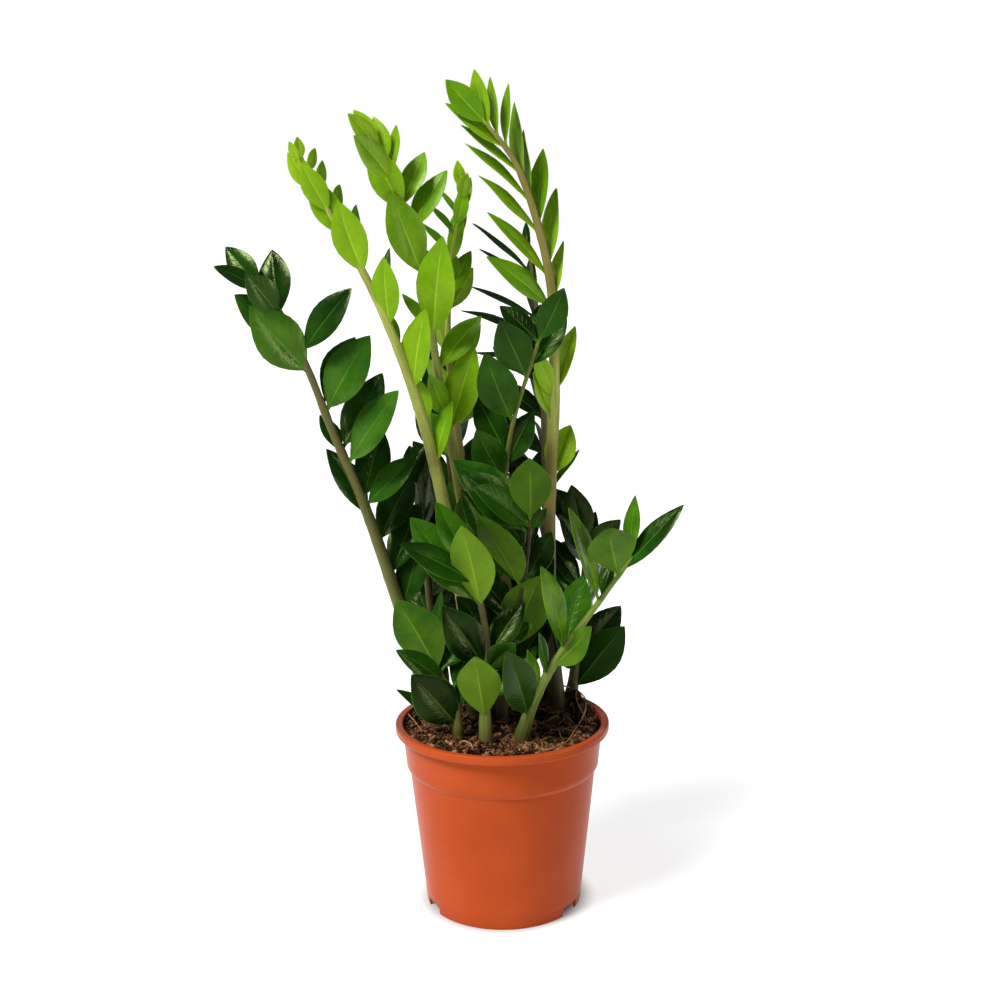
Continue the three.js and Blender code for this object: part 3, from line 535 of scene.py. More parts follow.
def tubes(paths, radii, sides):
    """Round tubes along paths (tube, ring, 3): centre + radius (cos a side + sin a other), where side
    and other stand across the path's slope. Rings run counterclockwise about it, with poles at both
    ends."""
    slope = np.gradient(paths, axis=1)
    slope /= np.linalg.norm(slope, axis=-1, keepdims=True)
    across = np.where(np.abs(slope[..., 1:2]) < 0.9, (0.0, -1.0, 0.0), (1.0, 0.0, 0.0))
    other = np.cross(slope, across)
    other /= np.linalg.norm(other, axis=-1, keepdims=True)
    side = np.cross(other, slope)
    angle = np.linspace(0, 2 * np.pi, sides, endpoint=False)[:, None]
    rings = paths[:, :, None] + radii[:, :, None, None] * (
        np.cos(angle) * side[:, :, None] + np.sin(angle) * other[:, :, None])
    poles = paths[:, [0, -1]]
    points = np.concatenate([rings.reshape(len(paths), -1, 3), poles], 1)
    return points.reshape(-1, 3), capped_faces(paths.shape[1], sides, len(paths))


def welded(points, faces):
    """Points with those that coincide made one, and the faces that point to them."""
    _, first, place = np.unique(np.round(points, 3), axis=0, return_index=True, return_inverse=True)
    return points[first], [place.reshape(-1)[part] for part in faces]


def smoothstep(low, high, value):
    """0 below low, 1 above high, and 3t^2 - 2t^3 between."""
    t = np.clip((value - low) / (high - low), 0, 1)
    return t * t * (3 - 2 * t)


def lattice_noise(x, y, cell, rng):
    """Smooth noise from -1 to 1: random values at the corners of square cells, blended by smoothstep."""
    values = rng.uniform(-1, 1, (64, 64))
    column, row = np.floor(x / cell).astype(int), np.floor(y / cell).astype(int)
    across, up = smoothstep(0, 1, x / cell - column), smoothstep(0, 1, y / cell - row)
    corner = [[values[(row + j) % 64, (column + i) % 64] for i in (0, 1)] for j in (0, 1)]
    low = corner[0][0] * (1 - across) + corner[0][1] * across
    high = corner[1][0] * (1 - across) + corner[1][1] * across
    return low * (1 - up) + high * up


# ---------------------------------------------------------------- leaflets

LEAF_ROWS = (0.04, 0.1, 0.15, 0.22, 0.31, 0.41, 0.52, 0.63, 0.74, 0.84, 0.92, 0.97)
LEAF_UPPER = (-1, -0.75, -0.42, -0.12, 0, 0.12, 0.42, 0.75, 1)  # where the section has points
LEAF_UNDER = (1, 0.6, 0.12, 0, -0.12, -0.6, -1)  # and then back underneath
LEAF = dict(
    half_thick=0.56, thick_root=1.15, thick_tip=0.75, stalk_half_thick=1.05,
    margin_thin=0.55,  # share of the thickness that is gone at the margins
    groove=0.22, rib=0.55,  # depth over the midrib, and the ridge under it,
    groove_wide=0.1, rib_wide=0.12,  # and their widths as shares of the half width
    pillow=0.07,  # bulge of either half of the blade, as a share of its own width
    cupped=0.6,  # how far most of them fold back rather than up
    wave=0.011, camber=0.05, twist=0.045, sweep=0.02, tone=0.06,  # how much they differ from each other
)


def leaf_points(leaves, rng):
    """The skins of leaflets, (leaflet, ring, column, 3). Across is s times the half width and along is
    v times the length. The height is the middle surface, with a wave of s^2 sin(v) at the margins and
    a bulge of sin(pi |s|) sin(pi v) in either half, plus or minus half the thickness, which thins by
    |s|^3, dips over the midrib and swells under it."""
    count = len(leaves["long"])
    s = np.array(LEAF_UPPER + LEAF_UNDER, float)
    v = np.array(LEAF_ROWS)[:, None]
    upper = np.arange(len(s)) < len(LEAF_UPPER)
    long = leaves["long"][:, None, None]
    width = half_width(leaves["wide"][:, None, None], v)
    draw = rng.uniform(-1, 1, (6, count, 1, 1))
    x = s * width
    y = v * long
    wave = LEAF["wave"] * long * draw[0] * s ** 2 * np.sin(2 * np.pi * (1.4 * v + draw[1]) + s * draw[2])
    camber = LEAF["camber"] * (draw[3] - LEAF["cupped"]) * s ** 2 * width
    pillow = LEAF["pillow"] * width * np.sin(np.pi * np.abs(s)) * np.sin(np.pi * v)
    twist = LEAF["twist"] * draw[4] * x * (v - 0.3)
    middle = surface_height(x, y, long) + wave * smoothstep(0.1, 0.35, v) + camber + twist + pillow
    stalk = 1 - smoothstep(0.03, 0.17, v)
    half = LEAF["half_thick"] * (LEAF["thick_root"] * (1 - v) + LEAF["thick_tip"] * v)
    half = half + (LEAF["stalk_half_thick"] - half) * stalk
    half = half * (1 - LEAF["margin_thin"] * np.abs(s) ** 3)
    over = half - LEAF["groove"] * np.exp(-(s / LEAF["groove_wide"]) ** 2) * (1 - v) * (1 - stalk)
    below = -half - LEAF["rib"] * np.exp(-(s / LEAF["rib_wide"]) ** 2) * (1 - v) ** 0.7 * (1 - stalk)
    z = middle + np.where(upper, over, below)
    x = x + LEAF["sweep"] * draw[5] * long * np.sin(np.pi * v)
    blade = {key: leaves[key][:, None, None] for key in ("root", "along", "across", "up")}
    return on_blade(blade, x, y + 0 * x, z)


# How light the leaflets of each row are, evenly along it: 0 is the darkest of its kind, 1 the lightest.
# The tones are partly the leaflets' own colour and partly painted shade: low deep in the plant and at the
# back.
LEAF_TONES_AND_SHADE = dict(
    frond_front_low=([0.9, 0.25, 0.65], [0.6, 0.1, 0.45, 0.25, 0.5], [0.2, 0.1]),
    frond_right_low=([0.25, 0.85, 0.5, 0.8, 0.75, 0.2], [0.4, 0.4, 0.2, 0.2, 0.75]),
    frond_left_low=([0.25, 0.05, 0.4], [0.05, 0.2, 0.3], [0.1]),
    frond_centre=([0.45, 0.6, 0.3, 0.35], [0.3, 0.35, 0.4, 0.45], [0.1, 0.2], [0.1, 0.15]),
    frond_bright_left=([0.4, 0.5, 0.5, 0.55, 0.65, 0.6, 0.65, 0.75, 0.8, 0.85], [0.35, 0.45, 0.7]),
    frond_bright_middle=([0.0, 0.5, 0.4, 0.45, 0.3, 0.4, 0.5],
                         [0.0, 0.2, 0.4, 0.45, 0.55, 0.55, 0.55, 0.6, 0.7, 0.75]),
    frond_tall_right=([0.6, 0.65, 0.25, 0.35, 0.5, 0.5, 0.45, 0.45, 0.4],
                      [0.0, 0.5, 0.65, 0.6, 0.5, 0.4, 0.4, 0.5, 0.45, 0.45, 0.45]),
    frond_dark_middle=([0.35, 0.3, 0.35, 0.25, 0.05], [0.3, 0.2, 0.2, 0.15, 0.25], [0.15], [0.15]),
    frond_dark_left=([0.5, 0.35, 0.75, 0.5, 0.65, 0.3, 0.35, 0.25],
                     [0.35, 0.35, 0.75, 0.5, 0.5, 0.35, 0.3], [0.3]),
    frond_bright_back=([0.2, 0.3, 0.45, 0.3, 0.4, 0.5, 0.6, 0.7], [0.1, 0.35], [0.3, 0.5], [0.3, 0.5]),
    frond_right_back=([0.1, 0.0, 0.35, 0.2], [0.1, 0.1], [0.15], [0.2]),
    frond_dark_tall=([0.35], [0.25], [0.1], [0.25]),
    frond_left_back=([0.1], [0.15], [0.1], [0.1]),
    frond_rear_left=([0.3], [0.3]),
    frond_rear=([0.3], [0.3]),
)


def make_leaflets(frond, leaves, material, slot, rng):
    """All the leaflets of one frond, as one piece with a tone for each of them, partly painted shade."""
    count = len(leaves["long"])
    rings = leaf_points(leaves, rng)
    rows, columns = rings.shape[1:3]
    tip = leaves["root"] + leaves["along"] * leaves["long"][:, None]
    tip -= leaves["up"] * (BLADE["arch"] * leaves["long"])[:, None]
    poles = np.stack([leaves["root"], tip], 1)
    points = np.concatenate([rings.reshape(count, -1, 3), poles], 1).reshape(-1, 3)
    faces = capped_faces(rows, columns, count)
    s = np.array(LEAF_UPPER + LEAF_UNDER)
    u = np.broadcast_to((s + 1) / 2, (rows, columns)).ravel()
    v = np.repeat(LEAF_ROWS, columns)
    one = np.stack([np.append(u, (0.5, 0.5)), np.append(v, (0, 1))], 1)
    strips = [0.0] * (len(LEAF_UPPER) - 1) + [0.5] + [1.0] * (len(LEAF_UNDER) - 1) + [0.5]
    under = np.tile(strips, (rows + 1) * count)
    tone = np.array([stretched(LEAF_TONES_AND_SHADE[frond["name"]][int(rank)], place)
                     for rank, place in zip(leaves["rank"], leaves["place"])])
    tone = np.clip(tone + rng.normal(0, LEAF["tone"], count), 0, 1)
    new_piece(
        frond["name"] + "_leaflets", points, faces, material, frond["name"], slot,
        uv=np.tile(one, (count, 1)), crease=50,
        under=under, tone=np.repeat(tone, rows * columns + 2),
    )


# ---------------------------------------------------------------- stems

STEM = dict(
    rows=72, sides=18, foot_swell=0.9, foot_height=149, foot_spread=15, node_swell=0.3, node_length=3,
    uneven=0.025, rounded_from=0.965, rounded=0.96,  # where the rounded tip begins, and how far it closes
    earth_from=3, earth_height=22,  # over the soil, where the skin is soiled
)

# The skin of each stem from its foot to its tip: 0 is green, 1 is brown, and 2 is nearly black painted
# shade.
# Values past 1 paint the shade that falls on stems deep in the plant and at the back.
STEM_BROWN_AND_SHADE = dict(
    frond_front_low=[0.3, 0.6, 1.5, 1.2], frond_right_low=[0.35, 0.25, 0.15, 0.1],
    frond_left_low=[0.2, 0.9, 1.3], frond_centre=[1.5, 1.7, 1.8, 1.6],
    frond_bright_left=[1.8, 1.4, 0.5, 0.45, 0.35, 0.1],
    frond_bright_middle=[1.9, 1.7, 0.5, 0.45, 0.3, 0.1],
    frond_tall_right=[2.0, 1.9, 1.3, 0.3, 0.9, 0.9, 0.5],
    frond_dark_middle=[1.8, 1.6, 1.2, 0.6, 0.4], frond_dark_left=[0.5, 0.5, 0.6, 0.7, 0.6],
    frond_bright_back=[2.0, 1.8, 0.9, 0.3, 0.1], frond_right_back=[1.6, 1.2, 0.5],
    frond_dark_tall=[1.7, 1.3, 0.8, 0.7], frond_left_back=[1.7, 1.3, 0.6],
    frond_rear_left=[1.7, 1.3, 0.6], frond_rear=[1.7, 1.3, 0.6],
)


def make_stem(frond, leaves, material, slot, rng):
    """A frond's stem: a round tube that tapers, is swollen at the soil and, by a bell curve, where each
    leaflet leaves it, and closes in a rounded tip."""
    share = np.linspace(0, 1, STEM["rows"])
    line = line_at(frond["stem"], share)
    length = np.linalg.norm(np.diff(line, axis=0), axis=1).sum()
    radius = stretched(frond["radii"], share)
    over_foot = (line[:, 2] - STEM["foot_height"]) / STEM["foot_spread"]
    radius = radius + STEM["foot_swell"] * np.exp(-over_foot ** 2)
    away = (share[:, None] - leaves["share"]) * length / STEM["node_length"]
    radius = radius + STEM["node_swell"] * np.exp(-away ** 2).max(1) * smoothstep(0, 0.3, share)
    radius = radius + STEM["uneven"] * rng.uniform(-1, 1, STEM["rows"])
    radius = radius * np.sqrt(1 - smoothstep(STEM["rounded_from"], 1, share) * STEM["rounded"])
    points, faces = tubes(line[None], radius[None], STEM["sides"])
    around = np.tile(np.arange(STEM["sides"]) / STEM["sides"], STEM["rows"])
    up = np.repeat(share, STEM["sides"]) * length
    uv = np.stack([np.append(around, (0.5, 0.5)), np.append(up, (0, length)) / 100], 1)
    # brown, and past 1 painted shade, along the stem
    brown = np.repeat(stretched(STEM_BROWN_AND_SHADE[frond["name"]], share), STEM["sides"])
    soil = SOIL["top"] + STEM["earth_from"]
    height = np.append(np.repeat(line[:, 2], STEM["sides"]), line[[0, -1], 2])
    earthy = 1 - smoothstep(soil, soil + STEM["earth_height"], height)
    new_piece(
        frond["name"] + "_stem", points, faces, material, frond["name"], slot,
        uv=uv, brown=np.append(brown, brown[[0, -1]]), earthy=earthy,
    )


# ---------------------------------------------------------------- dry sheaths round the feet of the stems

SHEATH = dict(columns=20, low=138, high=150, thick=0.3, gap=0.5, rag=2.6, rag_waves=(1, 2, 3, 5, 7),
              flare=1.0, folds=3, fold_depth=0.4)


def make_sheaths(material, rng):
    """A thin dry sheath stands round the foot of each stem: two skins that part from it upwards, with a
    ragged edge whose height is a sum of random waves."""
    angle = np.linspace(0, 2 * np.pi, SHEATH["columns"], endpoint=False)
    for frond in FRONDS:
        share = share_at_height(frond["stem"], SHEATH["high"])
        low = line_at(frond["stem"], share_at_height(frond["stem"], SHEATH["low"]))
        high = line_at(frond["stem"], share)
        radius = stretched(frond["radii"], share) + STEM["foot_swell"] + SHEATH["gap"]
        rag = SHEATH["rag"] * sum(rng.uniform(0.2, 1) / k ** 0.5 * np.sin(k * angle + rng.uniform(0, 6.3))
                                  for k in SHEATH["rag_waves"])
        folded = 1 + SHEATH["fold_depth"] * np.sin(SHEATH["folds"] * angle)
        rings = []
        for skin, part in ((0, 0), (0, 0.5), (0, 1), (1, 1), (1, 0.5), (1, 0)):
            centre = low + (high - low) * part
            out = radius + SHEATH["flare"] * part ** 2 * folded - skin * SHEATH["thick"]
            rings.append(np.stack([centre[0] + out * np.cos(angle), centre[1] + out * np.sin(angle),
                                   centre[2] + rag * part], -1))
        points = np.concatenate(rings)
        new_piece(frond["name"] + "_sheath", points, [ring_quads(6, len(angle), closed=True)],
                  material, frond["name"], "soil", crease=60)


# ---------------------------------------------------------------- pot

POT_COLUMNS = 144
SIDE_POINTS = 5  # between two drain holes, from one wall of the channel to the other
SAME_ANGLE = 1e-5  # a column this close to the edge of a drain hole's sector is on it
NOTCH_HALF = math.asin(POT["notch_width"] / 2 / POT["foot_radius"])  # half the angle that a notch takes
NOTCH_PAIR = 0.002  # angle between a notch's side and the columns before and after it
OUTSIDE_ROWS = 16  # of the wall's profile, from its foot up the outside past the notches
LIP_UNDER, LIP_OVER, LIP_INNER = 1.6, 1.5, 1.4  # radii of the lip's rounds
# The moulded line low on the pot: (height, how far it stands out of the tapered wall).
FOOT_LINE = ((2.2, 0), (4.5, 0), (7.5, 0), (11, 0), (11.5, 0.1), (12.3, 0.1), (12.8, 0),
             (40, 0), (70, 0), (98, 0))


def pot_angles():
    """Angles of the columns, 0 at the front: evenly spaced, with a close pair at each notch's sides."""
    even = np.arange(POT_COLUMNS) * 2 * math.pi / POT_COLUMNS
    sides = [math.radians(angle) + side + step for angle in POT["notch_angles"]
             for side in (-NOTCH_HALF, NOTCH_HALF) for step in (-NOTCH_PAIR, NOTCH_PAIR)]
    return np.unique(np.round(np.concatenate([even, np.mod(sides, 2 * math.pi)]), 6))


def in_notch(angle):
    """Whether an angle is inside one of the notches of the foot."""
    away = np.abs(np.angle(np.exp(1j * (angle[:, None] - np.radians(POT["notch_angles"])))))
    return away.min(1) < NOTCH_HALF


def turned(profile, angle):
    """Rings of points: each (radius, height) of the profile carried round the upright."""
    radius, height = np.asarray(profile, float).T[:, :, None]
    return np.stack([radius * np.sin(angle), -radius * np.cos(angle), height + 0 * angle], -1)


def inner_wall(gap):
    """The pot's inside from the lip down to the middle of its floor, shrunk by a gap."""
    inset = POT["wall"] + gap
    floor = POT["wall"] + gap
    ramp_inset = POT["ramp_inset"] * inset
    return [
        (POT["collar_top"] - inset, POT["height"] - POT["rim_depth"]),
        (POT["collar_radius"] - inset, POT["shoulder_height"] + POT["collar_step"] + 1 + gap),
        (POT["shoulder_radius"] - inset, POT["shoulder_height"] + gap),
        (POT["foot_radius"] + 0.9 - inset, POT["channel_height"] + floor),
        (POT["base_radius"] + POT["ramp"] - ramp_inset, POT["channel_height"] + floor),
        (POT["base_radius"] - ramp_inset, floor),
    ]


def arc(radius, height, round_radius, degrees):
    """Profile points of a round about a centre, at angles from the way out towards up."""
    return [(radius + round_radius * math.cos(a), height + round_radius * math.sin(a))
            for a in np.radians(degrees)]


def pot_wall():
    """The profile from the inner edge of the foot, up the outside with its moulded line and collar,
    over the lip and down the inside to the channel."""
    foot, top, lip = POT["foot_radius"], POT["height"], POT["height"] - POT["rim_depth"]
    shoulder, collar, collar_top = POT["shoulder_radius"], POT["collar_radius"], POT["collar_top"]
    rim, inside, step = POT["rim_radius"], POT["rim_inner"], POT["shoulder_height"]
    slope = (shoulder - foot) / step
    inner = foot - POT["foot_width"]
    outside = [(inner, POT["channel_height"]), (inner, 0.5), (inner + 0.4, 0), (foot - 0.6, 0),
               (foot, 0.6)]
    outside += [(foot + slope * height + bulge, height) for height, bulge in FOOT_LINE]
    outside += [(shoulder, step), (shoulder + 0.45, step + 0.5), (collar - 0.35, step + 3.2),
                (collar, step + POT["collar_step"]), (collar + 0.4, step + 8)]
    outside += [(collar_top - 0.3, lip - 3), (collar_top, lip - 0.8), (collar_top + 0.8, lip),
                (rim - 2.2, lip)]
    edge = arc(rim - LIP_UNDER, lip + LIP_UNDER, LIP_UNDER, np.arange(-70, 1, 14))
    edge += arc(rim - LIP_OVER, top - LIP_OVER, LIP_OVER, np.arange(0, 91, 15))
    roll = arc(inside + LIP_INNER, top - LIP_OVER, LIP_INNER, np.arange(95, 181, 17))
    return outside + edge + roll + inner_wall(0)[:4]


def drain_sector(number, angles):
    """The channel's piece round one drain hole. A ring of points follows the sector's edge, and the
    hole's edge has a point towards each of them. The skin goes from the sector's edge on the upper side
    to the hole, through it, and out to the sector's edge on the underside."""
    turn = 2 * math.pi / POT["drain_count"]
    first, last = number * turn, (number + 1) * turn
    swept = angles[(angles > first - SAME_ANGLE) & (angles < last + SAME_ANGLE)]
    if number == POT["drain_count"] - 1:
        swept = np.append(swept, last)
    share = np.linspace(0, 1, SIDE_POINTS + 2)[1:-1]
    inner = inner_wall(0)
    top = inner[3][1]
    under = POT["channel_height"]
    skins = ((inner[3][0], inner[4][0], top),
             (POT["foot_radius"] - POT["foot_width"], POT["base_radius"] + POT["ramp"], under))
    edges = []
    for outer_radius, inner_radius, height in skins:
        side = outer_radius + (inner_radius - outer_radius) * share
        radius = np.concatenate([np.full(len(swept), outer_radius), side,
                                 np.full(len(swept), inner_radius), side[::-1]])
        angle = np.concatenate([swept, np.full(len(side), last), swept[::-1], np.full(len(side), first)])
        edges.append(np.stack([radius * np.sin(angle), -radius * np.cos(angle),
                               np.full(len(angle), height)], 1))
    middle = (first + last) / 2
    centre = POT["drain_circle"] * np.array([math.sin(middle), -math.cos(middle)])
    away = edges[1][:, :2] - centre
    hole = centre + POT["drain_radius"] * away / np.linalg.norm(away, axis=1, keepdims=True)
    rings = [edges[0], np.column_stack([hole, np.full(len(hole), top)]),
             np.column_stack([hole, np.full(len(hole), float(under))]), edges[1]]
    return np.concatenate(rings), ring_quads(4, len(away))


def make_pot(material):
    """The pot: profiles turned round the upright, lifted to the notches' height inside them, and the
    channel with its drain holes, all welded into one shell."""
    angles = pot_angles()
    columns = len(angles)
    base = turned([(20, 0), (36, 0), (POT["base_radius"] - 0.8, 0), (POT["base_radius"], 0.4),
                   (POT["base_radius"] + POT["ramp"], POT["channel_height"])], angles)
    wall = turned(pot_wall(), angles)
    low = (wall[..., 2] < POT["notch_height"]) & in_notch(angles)
    outside = slice(OUTSIDE_ROWS)
    wall[outside, :, 2] = np.where(low, POT["notch_height"], wall[..., 2])[outside]
    floor = turned(inner_wall(0)[4:], angles)
    parts = [(part.reshape(-1, 3), [ring_quads(len(part), columns)]) for part in (base, wall, floor)]
    parts.append((np.array([[0, 0, 0]]), []))
    parts.append((np.array([[0, 0, POT["wall"]]]), []))
    parts += [(points, [quads]) for points, quads in
              (drain_sector(number, angles) for number in range(POT["drain_count"]))]
    starts = np.cumsum([0] + [len(points) for points, _ in parts])
    quads = np.concatenate([start + part for start, (_, faces) in zip(starts, parts) for part in faces])
    fans = np.concatenate([pole_fan(0, columns, starts[3], False),
                           pole_fan(starts[3] - columns, columns, starts[4], True)])
    points, faces = welded(np.concatenate([points for points, _ in parts]), [quads, fans])
    new_piece("pot_shell", points, faces, material, "pot", "pot_plastic", crease=32)


# ---------------------------------------------------------------- soil

SOIL_LOOK = dict(rings=120, columns=330, gap=0.35)
LUMPS = ((9, 3.2), (4.4, 2.6), (2.3, 1.6), (1.2, 0.9))  # how wide and how high they are
LEVEL_EDGE = 4  # width of the edge in which they level out
LUMP_SHADE = 4  # the lumps' height that gets the palest tone; below it painted shade darkens the hollows
SCATTER_EDGE, FREE_EDGE = 5, 4.5  # how far from the wall's top bits are thrown, and may lie
CRUMB_RINGS = (35, 75, 110, 147)  # where a crumb's rings of points are, in degrees from its top
CRUMB_COLUMNS = 7
CRUMB_ROUGH = (0.62, 1.12)  # how far its points are from its middle, as shares of its size
CRUMB_FLAT, CRUMB_TILT, CRUMB_LIFT = 0.75, 0.45, 0.25


def soil_height(x, y):
    """Height of the soil's top: level in the middle, raised at the wall, with waves and bell-shaped
    mounds that level out at the wall."""
    radius = np.hypot(x, y)
    height = SOIL["top"] + (SOIL["edge_top"] - SOIL["top"]) * smoothstep(
        SOIL["edge_from"], POT["collar_top"], radius)
    height = height + SOIL["ripple"] * np.sin(x / SOIL["ripple_x"]) * np.sin(y / SOIL["ripple_y"] + 1)
    for mound_x, mound_y, spread, rise in SOIL["mounds"]:
        bell = np.exp(-((x - mound_x) ** 2 + (y - mound_y) ** 2) / spread ** 2)
        height = height + rise * bell * (1 - smoothstep(*SOIL["mounds_fade"], radius))
    return height


def rough_height(x, y):
    """The soil's height with its lumps."""
    from_wall = POT["collar_top"] - POT["wall"] - np.hypot(x, y)
    return soil_height(x, y) + lumps(x, y) * smoothstep(0, LEVEL_EDGE, from_wall)


def lumps(x, y):
    """Height of the lumps: folded noise of four sizes."""
    rng = np.random.default_rng(7)
    return sum(depth * (0.5 - np.abs(lattice_noise(x + 500, y + 500, cell, rng)))
               for cell, depth in LUMPS)


def make_soil(material):
    """The soil: its rough top out to the wall, then down inside the pot to the middle of its floor."""
    angle = np.linspace(0, 2 * np.pi, SOIL_LOOK["columns"], endpoint=False)
    wall = inner_wall(SOIL_LOOK["gap"])
    edge = POT["collar_top"] - POT["wall"] - SOIL_LOOK["gap"] - 0.1
    radius = np.linspace(0, edge, SOIL_LOOK["rings"] + 1)[1:]
    below = turned(wall[1:], angle)[::-1]
    top = turned([(r, 0) for r in radius[::-1]], angle)
    top[..., 2] = rough_height(top[..., 0], top[..., 1])
    rings = np.concatenate([below, top])
    poles = [[0, 0, wall[-1][1]], [0, 0, rough_height(np.zeros(1), np.zeros(1))[0]]]
    points = np.concatenate([rings.reshape(-1, 3), poles])
    # high: how far each point stands up among the lumps, which the peat's colour turns into painted shade
    # in the hollows
    high = np.clip(lumps(points[:, 0], points[:, 1]) / LUMP_SHADE, -1, 1)
    faces = capped_faces(len(rings), len(angle))
    new_piece("soil_bed", points, faces, material, "soil", "soil", high=high)


def scattered(count, rng, near=()):
    """Random places on the soil: evenly over the disc, or gathered round (x, y, spread) points."""
    radius = (POT["collar_top"] - SCATTER_EDGE) * np.sqrt(rng.uniform(0, 1, count))
    angle = rng.uniform(0, 2 * np.pi, count)
    x, y = radius * np.sin(angle), radius * np.cos(angle)
    if len(near):
        choice = np.array(near)[rng.integers(0, len(near), count)]
        x = choice[:, 0] + choice[:, 2] * rng.normal(0, 0.5, count)
        y = choice[:, 1] + choice[:, 2] * rng.normal(0, 0.5, count)
    inside = np.hypot(x, y) < POT["collar_top"] - FREE_EDGE
    return x[inside], y[inside]


def crumb_skins(x, y, size, stretch, rng):
    """Crumbs: balls with each point moved in or out at random, stretched one way and flattened, then
    tilted, turned about the upright and set half into the soil."""
    count = len(x)
    columns = np.arange(CRUMB_COLUMNS) * 2 * np.pi / CRUMB_COLUMNS
    polar, around = np.meshgrid(np.radians(CRUMB_RINGS), columns, indexing="ij")
    ball = np.stack([np.sin(polar) * np.cos(around), -np.sin(polar) * np.sin(around), np.cos(polar)], -1)
    ball = np.concatenate([ball.reshape(-1, 3), [[0, 0, 1], [0, 0, -1]]])
    skins = ball * rng.uniform(*CRUMB_ROUGH, (count, len(ball), 1)) * size[:, None, None]
    skins = skins * np.stack([stretch, np.ones(count), np.full(count, CRUMB_FLAT)], -1)[:, None]
    turn, tilt = rng.uniform(0, 2 * np.pi, count), rng.normal(0, CRUMB_TILT, count)
    roll = np.stack([np.stack([np.cos(tilt), 0 * tilt, np.sin(tilt)], -1),
                     np.tile([0, 1, 0], (count, 1)),
                     np.stack([-np.sin(tilt), 0 * tilt, np.cos(tilt)], -1)], 1)
    spin = np.stack([np.stack([np.cos(turn), -np.sin(turn), 0 * turn], -1),
                     np.stack([np.sin(turn), np.cos(turn), 0 * turn], -1),
                     np.tile([0, 0, 1], (count, 1))], 1)
    skins = skins @ roll.transpose(0, 2, 1) @ spin.transpose(0, 2, 1)
    centre = np.stack([x, y, rough_height(x, y) + CRUMB_LIFT * size], -1)
    return (skins + centre[:, None]).reshape(-1, 3)


# Reddish clods that have crumbled: (x, y, spread).
CLODS = ((-44, -38, 10), (-26, -52, 9), (0, -63, 8), (-60, -12, 9), (40, -50, 7))
# Crumbs: how many, round which places (none: all over), smallest and largest size, darkest and lightest
# tone. In tone 0 is black peat, 0.5 brown bark and 1 a pale grain.
CRUMB_KINDS = (
    (560, (), 0.6, 1.5, (0.0, 0.5)),
    (300, [(x, y, spread) for x, y, spread, _ in SOIL["mounds"][:4]], 0.7, 1.9, (0.1, 0.6)),
    (360, CLODS, 0.6, 1.8, (0.2, 0.72)),
    (60, (), 1.0, 2.2, (0.45, 0.75)),
    (3, ((-40, -49, 3), ), 1.6, 2.4, (0.74, 0.82)),
    (46, (), 0.5, 0.9, (0.85, 1)),
)
BACK_SHADE = dict(front=-45, back=30, share=0.5)  # painted shade: crumbs get darker towards the back, where the plant shades the soil


def make_crumbs(material, rng):
    """Crumbs of peat all over the soil, more of them on its mounds, with bits of bark and a few pale
    grains. Each has a tone of its own, darkened towards the back by painted shade."""
    skins, tones = [], []
    for count, near, least, most, (dark, light) in CRUMB_KINDS:
        x, y = scattered(count, rng, near)
        size = rng.uniform(least, most, len(x))
        skins.append(crumb_skins(x, y, size, rng.uniform(0.9, 1.7, len(x)), rng))
        # painted shade towards the back
        shade = BACK_SHADE["share"] * smoothstep(BACK_SHADE["front"], BACK_SHADE["back"], y)
        tones.append(rng.uniform(dark, light, len(x)) * (1 - shade))
    step = len(CRUMB_RINGS) * CRUMB_COLUMNS + 2
    tone = np.repeat(np.concatenate(tones), step)
    faces = capped_faces(len(CRUMB_RINGS), CRUMB_COLUMNS, len(tone) // step)
    new_piece("soil_crumbs", np.concatenate(skins), faces, material, "soil", "soil", tone=tone)


# Roots that lie on the soil: their course over it as (x, y, how far above it), radius and tone.
ROOTS = (
    ([(50, 46, 9), (66, 30, 5), (68, 16, 3), (62, -4, 1.8), (56, -26, 1.8), (50, -46, 1), (41, -61, 0.3)],
     0.55, 0.8),
    ([(74, 16, 3), (66, 24, 3), (54, 32, 3), (44, 38, 2)], 0.35, 0.45),
    ([(41, -32, 1), (36, -38, 2.2), (30, -48, 1.5), (31, -55, 0.5)], 0.5, 0.7),
    ([(69, -17, 1), (58, -12, 1.6), (47, -14, 1.2), (40, -22, 0.5)], 0.4, 0.6),
    ([(-76, 17, 1.6), (-72, 2, 2.4), (-66, -12, 2), (-62, -24, 1)], 0.5, 0.75),
    ([(-34, -50, 1), (-30, -56, 2.6), (-25, -60, 1.6), (-22, -66, 0.5)], 0.6, 0.95),
    ([(66, 42, 5), (60, 22, 4), (66, 8, 2), (72, -6, 1)], 0.4, 0.7),
)
ROOT_RINGS, ROOT_SIDES = 22, 6
FIBRES = dict(count=190, rings=7, sides=4, long=(7, 24), thick=(0.12, 0.3),
              edge=4, ground=0.2, lift=(0.3, 3))  # from the wall's top, and above the soil


